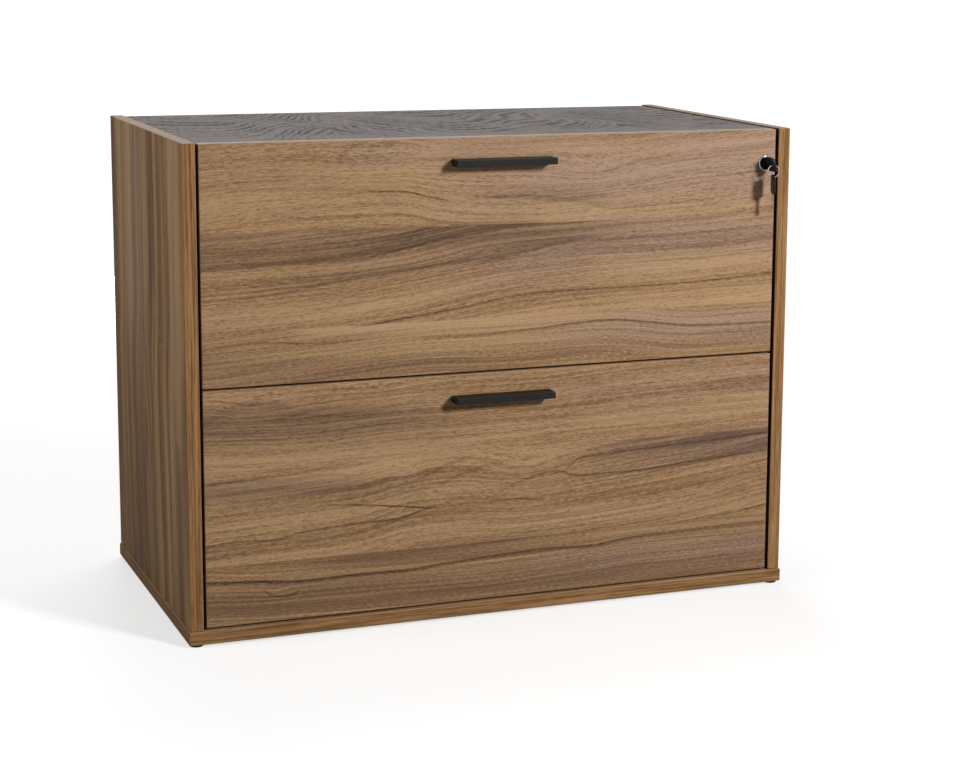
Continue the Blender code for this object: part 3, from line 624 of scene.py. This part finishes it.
def make_front_finish(drawer, sheet, seed, painted_top_sheen):
    """Walnut grain across a drawer front, and banded edges, the upper one paler with a painted sheen."""
    shader = Shader(f"walnut {drawer} front", Specular_IOR_Level=0.05)
    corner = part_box(drawer + "_drawer_front")[0]
    x, y, z = shader.split(shader.place)
    colour, pores = walnut_figure(shader, sheet, x - corner.x, z - corner.z)
    upward = shader.split(shader.normal)[2]
    band = edge_band_colour(shader, x + z, y + z, seed)
    # painted sheen along the top edge of the front, strong on the upper drawer and weak on the lower
    band = shader.mix(shader.span(upward, 0.5, 0.9) * painted_top_sheen, band, PAINTED_EDGE_SHEEN)
    return finish_board(shader, shader.mix(shader.face_share(1), band, colour), pores)


def make_side_finish(side, seed, inside):
    """Upright walnut grain on a side panel, banded edges, and a dark foil on the inner face as painted shade for
    the gaps beside the drawers.
    """
    shader = Shader(f"walnut {side} side", Specular_IOR_Level=0.004)
    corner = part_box(side + "_side_panel")[0]
    x, y, z = shader.split(shader.place)
    colour, pores = walnut_figure(shader, SIDE_FACE, z - corner.z, y - corner.y)
    sideways, _, upward = shader.split(shader.normal)
    band = edge_band_colour(shader, z + y * abs(upward), x, seed)
    # painted sheen along the top edge of the side panel
    band = shader.mix(shader.span(upward, 0.6, 0.9) * 0.9, band, PAINTED_EDGE_SHEEN)
    # painted shade: the inner face turns dark, standing in for the shadow in the gaps
    shade_foil = shader.mix(shader.speckle(700.0), PAINTED_SHADE_FOIL_DARK, PAINTED_SHADE_FOIL_LIGHT)
    colour = shader.mix(shader.span(sideways * inside, *FACE_TURN), colour, shade_foil)
    return finish_board(shader, shader.mix(shader.face_share(0), band, colour), pores)


def make_base_finish(seed):
    """Walnut base board, its grain along the front."""
    shader = Shader("walnut base", Specular_IOR_Level=0.01)
    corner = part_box("base_panel")[0]
    x, y, z = shader.split(shader.place)
    colour, pores = walnut_figure(shader, BASE_FACE, x - corner.x, y - corner.y)
    sideways = abs(shader.split(shader.normal)[0])
    band = edge_band_colour(shader, x + y * sideways, z, seed)
    band = shader.mix(shader.span(sideways, *FACE_TURN, 0.08, 0.25), band, WALNUT_SHADE)
    return finish_board(shader, shader.mix(shader.face_share(2), band, colour), pores)


# Other finishes

TOP_PALE = srgb(126, 119, 116)
TOP_DARK = srgb(56, 52, 52)
TOP_EDGE = srgb(150, 142, 134)
TOP_FLAMES = 2.6  # arches side by side, per metre
TOP_FLAME_RISE = 1.3
TOP_RINGS = 24.0  # growth rings, per metre
# painted sheen: the strip along the front where the figure is washed out
TOP_SHEEN_STRIP = (0.02, 0.11)  # metres from the front, plain to figured


def make_charcoal_top():
    """Grey laminate: arched dark rings, pores running front to back, and a painted sheen that makes it plainer
    along its front.
    """
    shader = Shader("charcoal laminate", Specular_IOR_Level=0.01)
    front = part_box("top_panel")[0].y
    x, y, _ = shader.split(shader.place)
    slow = shader.noise(x, y, (3.0, 2.0), 91.0)
    ragged = shader.noise(x, y, (110.0, 16.0), 92.0)
    flame = shader.math("FRACT", x * TOP_FLAMES + slow * 0.9) - 0.5
    arch = y - flame * flame * TOP_FLAME_RISE + (ragged - 0.5) * 0.03
    widths = shader.noise(x, arch, (1.5, 8.0), 95.0)
    ring = shader.math("FRACT", arch * TOP_RINGS + widths * 3.0)
    late = shader.math("MAXIMUM", shader.span(ring, 0.4, 0.92), shader.span(ring, 0.0, 0.14, 1.0, 0.0))
    fibres = shader.noise(x, y, (380.0, 26.0), 94.0, 3.0, 0.6)
    patches = shader.noise(x, y, (12.0, 7.0), 96.0)
    rings = late * shader.span(patches, 0.35, 0.65, 0.15, 0.75)
    pores = shader.span(fibres, 0.56, 0.36) * shader.span(late, 0.0, 1.0, 0.35, 0.6)
    # painted sheen: the figure fades along the front of the top, which reads lighter and plainer
    plain = shader.span(y, front + TOP_SHEEN_STRIP[0], front + TOP_SHEEN_STRIP[1], 0.4, 1.0)
    colour = shader.mix((rings + pores) * plain, TOP_PALE, TOP_DARK)
    return shader.finish(shader.worn(colour, 0.3, TOP_EDGE), fibres, 0.58, 0.46, 0.15, 0.0003)


def make_hardboard():
    shader = Shader("hardboard", Specular_IOR_Level=0.2)
    fine = shader.speckle(900.0, 4.0)
    tone = shader.speckle(14.0, 5.0) * 0.35 + fine * 0.65
    colour = shader.mix(shader.span(tone, *NOISE_SPREAD), srgb(98, 71, 49), srgb(134, 102, 74))
    return shader.finish(colour, fine, 0.9, 0.75, 0.3, 0.0004)


def make_box_board():
    shader = Shader("pale melamine", Specular_IOR_Level=0.3)
    fine = shader.speckle(1600.0, 2.0)
    tone = shader.speckle(18.0) * 0.4 + fine * 0.6
    colour = shader.mix(shader.span(tone, 0.35, 0.65), srgb(176, 171, 163), srgb(196, 192, 185))
    return shader.finish(colour, fine, 0.42, 0.55, 0.15, 0.0002)


def make_powder_coat():
    shader = Shader("black powder coat", Specular_IOR_Level=0.14)
    clouds = shader.span(shader.speckle(40.0, 2.0), *NOISE_SPREAD)
    colour = shader.mix(clouds, srgb(18, 17, 15), srgb(25, 24, 21))
    colour = shader.worn(colour, 0.35, srgb(66, 65, 60))
    return shader.finish(colour, shader.speckle(2600.0, 2.0), 0.42, 0.58, 0.25, 0.0002)


def make_black_plastic():
    shader = Shader("moulded black plastic", Specular_IOR_Level=0.16)
    clouds = shader.span(shader.speckle(120.0, 2.0), *NOISE_SPREAD)
    colour = shader.mix(clouds, srgb(17, 16, 15), srgb(26, 24, 23))
    return shader.finish(colour, shader.speckle(3200.0, 2.0), 0.30, 0.44, 0.12, 0.0001)


def make_zinc():
    """Zinc plate: cloudy, with fine lines along the way it was drawn."""
    shader = Shader("zinc plate", Metallic=1.0)
    x, y, z = shader.split(shader.place)
    clouds = shader.span(shader.speckle(45.0), 0.35, 0.65)
    drawn = shader.noise(y, x + z, (8.0, 1800.0), 55.0)
    colour = shader.mix(clouds, srgb(182, 184, 186), srgb(206, 206, 202))
    colour = shader.mix(shader.span(drawn, *NOISE_SPREAD) * 0.25, colour, srgb(160, 162, 166))
    return shader.finish(colour, drawn, 0.26, 0.40, 0.08, 0.0001)


def make_chrome(name, low, high):
    """Polished plating between two colours, cloudy where it is handled."""
    shader = Shader(name, Metallic=1.0)
    clouds = shader.speckle(300.0)
    colour = shader.mix(shader.span(clouds, 0.35, 0.65), low, high)
    return shader.finish(colour, clouds, 0.07, 0.18, 0.05, 0.0001)


def make_finishes():
    """A finish for each plain material slot of the record, and three for lock, ring and key blades."""
    return {
        "charcoal_top": make_charcoal_top(),
        "hardboard": make_hardboard(),
        "box_board": make_box_board(),
        "black_metal": make_powder_coat(),
        "black_plastic": make_black_plastic(),
        "zinc_steel": make_zinc(),
        "chrome": make_chrome("chrome plate", srgb(214, 214, 216), srgb(228, 228, 228)),
        "dark_plate": make_chrome("dark plate", srgb(58, 57, 58), srgb(76, 75, 76)),
        "satin_plate": make_chrome("satin plate", srgb(150, 150, 151), srgb(178, 177, 176)),
        "key_steel": make_chrome("key steel", srgb(122, 108, 96), srgb(146, 132, 118)),
    }


def dress_nodes(finishes):
    """A finish for every node, by its own board or by its material slot in the record."""
    special = {
        "upper_drawer_front": make_front_finish("upper", UPPER_FRONT, seed=5.0, painted_top_sheen=0.9),
        "lower_drawer_front": make_front_finish("lower", LOWER_FRONT, seed=6.0, painted_top_sheen=0.2),
        "left_side_panel": make_side_finish("left", seed=7.0, inside=1.0),
        "right_side_panel": make_side_finish("right", seed=8.0, inside=-1.0),
        "base_panel": make_base_finish(seed=9.0),
        "lock_plug": finishes["dark_plate"],
    }
    for part in frame["record"]["subparts"]:
        node = part["node"]
        for slot in frame["nodes"][node].material_slots:
            slot.material = special.get(node) or finishes[part["material_slot"]]


# Mesh building

def add_loop(mesh, points):
    return [mesh.verts.new(point) for point in points]


def add_bands(mesh, loops):
    """Bands of faces from each closed loop to the next, all of the same count."""
    for first, second in zip(loops, loops[1:]):
        for here in range(len(first)):
            there = (here + 1) % len(first)
            mesh.faces.new((first[here], first[there], second[there], second[here]))


def add_cap(mesh, *loops):
    """Fill the flat space inside the first loop, around the others."""
    edges = []
    for loop in loops:
        for here in range(len(loop)):
            pair = (loop[here], loop[(here + 1) % len(loop)])
            edges.append(mesh.edges.get(pair) or mesh.edges.new(pair))
    bmesh.ops.triangle_fill(mesh, edges=edges, use_beauty=True)


def add_skin(mesh, loops):
    """A closed skin: bands through the loops and a cap at both ends."""
    add_bands(mesh, loops)
    add_cap(mesh, loops[0])
    add_cap(mesh, loops[-1])


def circle(radius, height, sides):
    """Points round the Z axis."""
    angles = [math.tau * side / sides for side in range(sides)]
    return [(radius * math.cos(angle), radius * math.sin(angle), height) for angle in angles]


def make_mesh(name, mesh, finish, place=None):
    """A Blender mesh with smooth rounds and sharp corners, moved to its place."""
    bmesh.ops.recalc_face_normals(mesh, faces=mesh.faces[:])
    if place is not None:
        mesh.transform(place)
    data = bpy.data.meshes.new(name)
    mesh.to_mesh(data)
    mesh.free()
    data.materials.append(finish)
    data.shade_smooth()
    data.set_sharp_from_angle(angle=SMOOTH_ANGLE)
    return data


def add_piece(name, data, body, nodes=(), place=None):
    """Add a mesh as a piece that moves with a body, in place of CAD nodes or beside them."""
    piece = bpy.data.objects.new(name, data)
    if place is not None:
        piece.matrix_world = place
    bpy.context.collection.objects.link(piece)
    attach(piece, body)
    if nodes:
        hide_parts(*nodes)


def facing(direction, place):
    """A frame at a place, its Z axis in the direction."""
    turn = Vector(direction).to_track_quat("Z", "Y")
    return Matrix.Translation(place) @ turn.to_matrix().to_4x4()


# Lock and keys

def make_turned(name, profile, finish, place):
    """A mesh turned about the Z axis from a closed profile of (radius, height) in millimetres."""
    mesh = bmesh.new()
    loops = [add_loop(mesh, circle(radius * MM, height * MM, LOCK_SIDES)) for radius, height in profile]
    add_bands(mesh, loops + loops[:1])
    return make_mesh(name, mesh, finish, place)


def make_lock(finishes):
    """The lock's housing with a raised rim, and a black inlaid face."""
    low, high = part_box("lock_housing")
    axis = (low + high) / 2
    back = facing((0, -1, 0), (axis.x, high.y, axis.z))
    face = (high.y - low.y) / MM
    flange = face - LOCK_FLANGE_DEPTH
    recess = face - LOCK_RECESS
    # (inwards from the edge of the flange, down from the crown of the rim)
    rim = ((0.2, 0.4), (0.6, 0.1), (1.0, 0.0), (1.4, 0.1), (1.7, 0.4))
    housing = [
        (LOCK_BORE, LOCK_CHAMFER), (LOCK_BORE + LOCK_CHAMFER, 0.0), (LOCK_BARREL - LOCK_CHAMFER, 0.0),
        (LOCK_BARREL, LOCK_CHAMFER), (LOCK_BARREL, flange), (LOCK_FLANGE, flange), (LOCK_FLANGE, recess),
        *((LOCK_FLANGE - inward, face - down) for inward, down in rim),
        (LOCK_INLAY, recess), (LOCK_BORE, recess),
    ]
    data = make_turned("lock_housing_turned", housing, finishes["satin_plate"], back)
    add_piece("lock_housing_turned", data, "upper_drawer", ["lock_housing"])

    inner = LOCK_BORE + LOCK_GAP
    outer = LOCK_INLAY - LOCK_GAP
    inlay = [(inner, recess + 0.02), (outer, recess + 0.02), (outer, face - 0.6), (outer - 0.3, face - 0.45),
             (inner + 0.3, face - 0.4), (inner, face - 0.6)]
    data = make_turned("lock_face_inlay", inlay, finishes["black_plastic"], back)
    add_piece("lock_face_inlay", data, "upper_drawer")


def add_outline(mesh, edges, corner, inset, height, steps=6):
    """A loop round a rectangle with rounded corners, drawn in from its edges by an inset."""
    left, low, right, high = edges
    middles = ((right - corner, low + corner), (right - corner, high - corner),
               (left + corner, high - corner), (left + corner, low + corner))
    radius = corner - inset
    points = []
    for quarter, (across, up) in enumerate(middles):
        for step in range(steps + 1):
            angle = math.radians(90 * (quarter - 1 + step / steps))
            points.append((across + radius * math.cos(angle), up + radius * math.sin(angle), height))
    return add_loop(mesh, points)


def make_key_head(finish):
    """A moulded head with rounded edges and a thumb dip on both faces; its hole is at the origin."""
    half_wide = KEY_HEAD_WIDTH / 2
    half_thick = KEY_HEAD_THICKNESS / 2
    head = (-half_wide, KEY_SHOULDER, half_wide, KEY_HOLE_INSET)
    dip = (KEY_DIP_INSET - half_wide, KEY_SHOULDER + KEY_DIP_INSET, half_wide - KEY_DIP_INSET, -KEY_DIP_DROP)
    # (inwards, down) on the way from the face to the floor of the dip
    slope = ((0.0, 0.0), (0.3 * MM, 0.12 * MM), (0.9 * MM, 0.4 * MM))
    mesh = bmesh.new()
    rims = []
    throats = []
    for side in (-1, 1):
        loops = []
        for angle in (0, 30, 60, 90):
            inward = KEY_HEAD_EDGE * (1 - math.cos(math.radians(angle)))
            down = KEY_HEAD_EDGE * (1 - math.sin(math.radians(angle)))
            loops.append(add_outline(mesh, head, KEY_HEAD_CORNER, inward, side * (half_thick - down)))
        add_bands(mesh, loops)
        hole = [add_loop(mesh, circle(KEY_HOLE_RADIUS + wider, side * (half_thick - down), KEY_HOLE_SIDES))
                for wider, down in ((KEY_HOLE_CHAMFER, 0.0), (KEY_HOLE_GAP, KEY_HOLE_CHAMFER))]
        add_bands(mesh, hole)
        hollow = [add_outline(mesh, dip, KEY_DIP_CORNER, inward, side * (half_thick - down))
                  for inward, down in slope]
        add_bands(mesh, hollow)
        add_cap(mesh, hollow[-1])
        add_cap(mesh, loops[-1], hole[0], hollow[0])
        rims.append(loops[0])
        throats.append(hole[1])
    add_bands(mesh, rims)
    add_bands(mesh, throats)
    return make_mesh("key_head", mesh, finish, KEY_STANDING)


def make_key_blade(finish):
    """A plated blade with cuts on both edges, a groove on both faces and a pointed tip."""
    half = KEY_BLADE_WIDTH / 2
    thick = KEY_BLADE_THICKNESS / 2
    # (down from the shoulder, cut on the left, cut on the right), millimetres
    stations = (
        (-2.0, 0.0, 0.0), (3.6, 0.0, 0.0), (4.6, 0.9, 0.0), (6.2, 0.9, 0.0), (7.2, 0.2, 0.6), (8.8, 0.2, 0.6),
        (9.8, 1.3, 0.0), (11.4, 1.3, 0.0), (12.4, 0.5, 1.1), (14.0, 0.5, 1.1), (15.0, 1.0, 0.3),
        (16.6, 1.0, 0.3), (17.6, 0.2, 0.9), (19.2, 0.2, 0.9), (20.4, 0.0, 0.0), (22.0, 0.2, 0.2),
        (KEY_BLADE_LENGTH / MM, 2.2, 2.2),
    )
    groove_middle = 0.4 * MM
    groove_half = 0.75 * MM
    groove_deep = 0.45 * MM
    # (share of the groove's half width, depth)
    groove = ((-1.0, 0.0), (-0.6, groove_deep), (0.6, groove_deep), (1.0, 0.0))
    ease = 0.25 * MM
    mesh = bmesh.new()
    loops = []
    for down, left_cut, right_cut in stations:
        left = -half + left_cut * MM
        right = half - right_cut * MM
        face = [(left, ease), (left + ease, 0.0)]
        face += [(groove_middle + share * groove_half, deep) for share, deep in groove]
        face += [(right - ease, 0.0), (right, ease)]
        section = [(across, thick - deep) for across, deep in face]
        section += [(across, deep - thick) for across, deep in reversed(face)]
        loops.append(add_loop(mesh, [(across, KEY_SHOULDER - down * MM, out) for across, out in section]))
    add_skin(mesh, loops)
    return make_mesh("key_blade", mesh, finish, KEY_STANDING)


def joint_place(name):
    return next(Vector(joint["pos_m"]) for joint in frame["joints"] if joint["name"] == name)


def make_keys(finishes):
    """The key in the lock and the spare key on the ring."""
    hole = joint_place("ring_swing")
    level = Matrix.Rotation(math.pi / 2, 4, "X")
    seated = Matrix.Translation(hole) @ Matrix.Rotation(-KEY_TILT, 4, "Y") @ level
    spare_hole = (hole.x, hole.y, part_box("spare_key")[1].z - KEY_HOLE_INSET)
    hanging = Matrix.Translation(spare_hole) @ Matrix.Rotation(-SPARE_TURN, 4, "Z")
    head = make_key_head(finishes["black_plastic"])
    blade = make_key_blade(finishes["key_steel"])
    for node, body, place in (("lock_key", "lock_core", seated), ("spare_key", "spare", hanging)):
        add_piece(node + "_head", head, body, [node], place)
        add_piece(node + "_blade", blade, body, [node], place)


def make_ring(finishes):
    """A split ring: two turns of flat wire side by side, with open ends."""
    centre = joint_place("spare_key_swing")
    mesh = bmesh.new()
    loops = []
    for step in range(2 * RING_STEPS + 1):
        turn = step / RING_STEPS
        angle = math.tau * turn + RING_START
        crossing = min(max((turn - RING_CROSSING) / RING_CROSSING_LENGTH, 0.0), 1.0)
        aside = (crossing * crossing * (3 - 2 * crossing) - 0.5) * RING_PITCH
        points = []
        for side in range(RING_WIRE_SIDES):
            around = math.tau * side / RING_WIRE_SIDES
            out = RING_RADIUS + RING_WIRE_WIDE * math.cos(around)
            points.append((centre.x + out * math.cos(angle),
                           centre.y + aside + RING_WIRE_THICK * math.sin(around),
                           centre.z + out * math.sin(angle)))
        loops.append(add_loop(mesh, points))
    add_skin(mesh, loops)
    data = make_mesh("key_ring_split", mesh, finishes["satin_plate"])
    add_piece("key_ring_split", data, "ring", ["key_ring"])


# Screws and nails

def add_cross_head(mesh, place, radius, height, shank, length):
    """A pan-head screw with a cross recess, its seat at the place and its head up the Z axis."""
    first_vertex = len(mesh.verts)
    # (radius, up from the seat)
    profile = ((0.25 * shank, -length), (shank, shank - length), (shank, 0.0), (radius, 0.0),
               (radius, 0.35 * height), (0.95 * radius, 0.65 * height), (0.82 * radius, 0.9 * height),
               (0.66 * radius, height))
    loops = [add_loop(mesh, circle(out, up, SCREW_SIDES)) for out, up in profile]
    add_bands(mesh, loops)
    add_cap(mesh, loops[0])

    def cross(reach, half, up):
        points = []
        for quarter in range(4):
            for x, y in ((reach, half), (half, half), (half, reach)):
                for _ in range(quarter):
                    x, y = -y, x
                points.append((x, y, up))
        return add_loop(mesh, points)

    mouth = cross(0.52 * radius, 0.13 * radius, height)
    floor = cross(0.34 * radius, 0.08 * radius, 0.35 * height)
    add_cap(mesh, loops[-1], mouth)
    add_bands(mesh, [mouth, floor])
    add_cap(mesh, floor)
    bmesh.ops.transform(mesh, matrix=place, verts=mesh.verts[first_vertex:])


def make_screws(finishes):
    """Cross-head screws for the pulls, the base and the cam."""
    kinds = [(f"{drawer}_handle_{side}_screw", drawer + "_drawer", (0, 1, 0), PULL_SCREW_SHANK)
             for drawer in ("upper", "lower") for side in ("left", "right")]
    kinds += [(f"{row}_{side}_base_screw", "case", (0, 0, -1), BASE_SCREW_SHANK)
              for row in ("front", "rear") for side in ("left", "right")]
    kinds.append(("lock_cam_screw", "lock_core", (0, 1, 0), PULL_SCREW_SHANK))
    for node, body, direction, shank in kinds:
        low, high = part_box(node)
        out = Vector(direction)
        length = abs((high - low).dot(out))
        crown = (low + high) / 2 + out * (length / 2)
        place = facing(out, crown - out * SCREW_HEAD_HEIGHT)
        below = length - SCREW_HEAD_HEIGHT - SCREW_SHORT
        mesh = bmesh.new()
        add_cross_head(mesh, place, SCREW_HEAD_RADIUS, SCREW_HEAD_HEIGHT, shank, below)
        data = make_mesh(node + "_crossed", mesh, finishes["zinc_steel"])
        add_piece(node + "_crossed", data, body, [node])


def make_slide_screws(finishes):
    """Three screws through each inner slide member into the drawer side."""
    for drawer in ("upper", "lower"):
        for side, way in (("left", -1), ("right", 1)):
            low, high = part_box(f"{drawer}_{side}_slide_inner")
            drawer_side = low.x if way > 0 else high.x
            mesh = bmesh.new()
            for share in SLIDE_SCREW_PLACES:
                seat = (drawer_side + way * SLIDE_SCREW_SEAT, low.y + share * (high.y - low.y),
                        (low.z + high.z) / 2)
                add_cross_head(mesh, facing((way, 0, 0), seat), SLIDE_SCREW_RADIUS, SLIDE_SCREW_HEIGHT,
                               SLIDE_SCREW_SHANK, SLIDE_SCREW_LENGTH)
            name = f"{drawer}_{side}_slide_screws"
            add_piece(name, make_mesh(name, mesh, finishes["zinc_steel"]), drawer + "_drawer")


def make_back_nails(finishes):
    """Domed nails along the top and both sides of the back panel."""
    low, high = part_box("back_panel")
    left = low.x + NAIL_INSET
    right = high.x - NAIL_INSET
    bottom = low.z + NAIL_INSET
    top = high.z - NAIL_INSET
    columns = round((right - left) / NAIL_SPACING)
    rows = round((top - bottom) / NAIL_SPACING)
    places = [(left + (right - left) * column / columns, top) for column in range(columns + 1)]
    for row in range(rows):
        up = bottom + (top - bottom) * row / rows
        places += [(left, up), (right, up)]
    # (share of the head's radius, share of its height above the panel)
    dome = ((1.0, -0.3), (1.0, 0.15), (0.8, 0.6), (0.45, 0.9), (0.15, 1.0))
    mesh = bmesh.new()
    for x, z in places:
        loops = []
        for out, up in dome:
            ring = circle(out * NAIL_HEAD_RADIUS, high.y + up * NAIL_HEAD_HEIGHT, NAIL_SIDES)
            loops.append(add_loop(mesh, [(x + across, depth, z + above) for across, above, depth in ring]))
        add_skin(mesh, loops)
    data = make_mesh("back_nails", mesh, finishes["zinc_steel"])
    add_piece("back_nails", data, "case")


# Stage, light and camera

def make_floor_finish():
    """White ground that fades into the background, darker to the part than to the camera."""
    material = bpy.data.materials.new("pale floor")
    material.use_nodes = True
    nodes = Nodes(material.node_tree)
    nodes.tree.nodes.remove(nodes.tree.nodes["Principled BSDF"])
    away = nodes.node("VectorMath", {0: nodes.node("TexCoord", {}, "Object")}, "Value", operation="LENGTH")
    share = nodes.span(away, FLOOR_NEAR, FLOOR_FAR, FLOOR_GLOW_NEAR, FLOOR_GLOW_FAR)
    bounce = nodes.node("BsdfDiffuse", {"Color": (FLOOR_BOUNCE, FLOOR_BOUNCE, FLOOR_BOUNCE, 1.0)})
    matt = nodes.node("BsdfDiffuse", {"Color": (FLOOR_WHITE, FLOOR_WHITE, FLOOR_WHITE, 1.0)})
    glow = nodes.node("Emission", {"Strength": FLOOR_GLOW})
    white = nodes.node("MixShader", {0: share, 1: matt, 2: glow})
    seen = nodes.node("MixShader", {0: nodes.seen_directly(), 1: bounce, 2: white})
    nodes.plug(nodes.tree.nodes["Material Output"].inputs["Surface"], seen)
    return material


def make_floor():
    half = FLOOR_SIDE / 2
    corners = [(-half, -half, 0), (half, -half, 0), (half, half, 0), (-half, half, 0)]
    mesh = bpy.data.meshes.new("floor")
    mesh.from_pydata(corners, [], [(0, 1, 2, 3)])
    mesh.materials.append(make_floor_finish())
    floor = bpy.data.objects.new("floor", mesh)
    bpy.context.collection.objects.link(floor)


def make_world():
    """A white background that lights the part only a little."""
    world = bpy.data.worlds.new("white studio")
    bpy.context.scene.world = world
    world.use_nodes = True
    nodes = Nodes(world.node_tree)
    background = nodes.tree.nodes["Background"]
    nodes.plug(background.inputs["Color"], (1.0, 1.0, 1.0, 1.0))
    level = nodes.span(nodes.seen_directly(), 0.0, 1.0, AMBIENT, 1.0, "LINEAR")
    nodes.plug(background.inputs["Strength"], level)


def make_lights():
    """Square lamps that face the middle of the part."""
    level = math.cos(KEY_RISE)
    towards = Vector((math.sin(KEY_TURN) * level, -math.cos(KEY_TURN) * level, math.sin(KEY_RISE)))
    key = ("key", MIDDLE + towards * KEY_DISTANCE, KEY_SIZE, KEY_POWER)
    for name, place, size, power in (key, *LAMPS):
        lamp = bpy.data.lights.new(name, "AREA")
        lamp.size = size
        lamp.energy = power
        light = bpy.data.objects.new(name, lamp)
        light.matrix_world = facing(Vector(place) - MIDDLE, place)
        bpy.context.collection.objects.link(light)


def make_camera():
    lens = bpy.data.cameras.new("camera")
    lens.sensor_width = SENSOR_WIDTH
    lens.lens = FOCAL_PIXELS / IMAGE_WIDTH * SENSOR_WIDTH
    lens.shift_x = -AXIS_RIGHT_OF_MIDDLE / IMAGE_WIDTH
    lens.shift_y = -AXIS_ABOVE_MIDDLE / IMAGE_WIDTH
    camera = bpy.data.objects.new("camera", lens)
    aim = Euler((math.pi / 2 - CAMERA_PITCH, 0.0, -CAMERA_YAW)).to_matrix()
    aim = aim @ Matrix.Rotation(CAMERA_ROLL, 3, "Z")
    camera.matrix_world = Matrix.LocRotScale(Vector(CAMERA_PLACE), aim, None)
    bpy.context.collection.objects.link(camera)
    bpy.context.scene.camera = camera


finishes = make_finishes()
dress_nodes(finishes)
make_lock(finishes)
make_keys(finishes)
make_ring(finishes)
make_screws(finishes)
make_slide_screws(finishes)
make_back_nails(finishes)
make_floor()
make_world()
make_lights()
make_camera()
bpy.context.scene.view_settings.view_transform = "Standard"
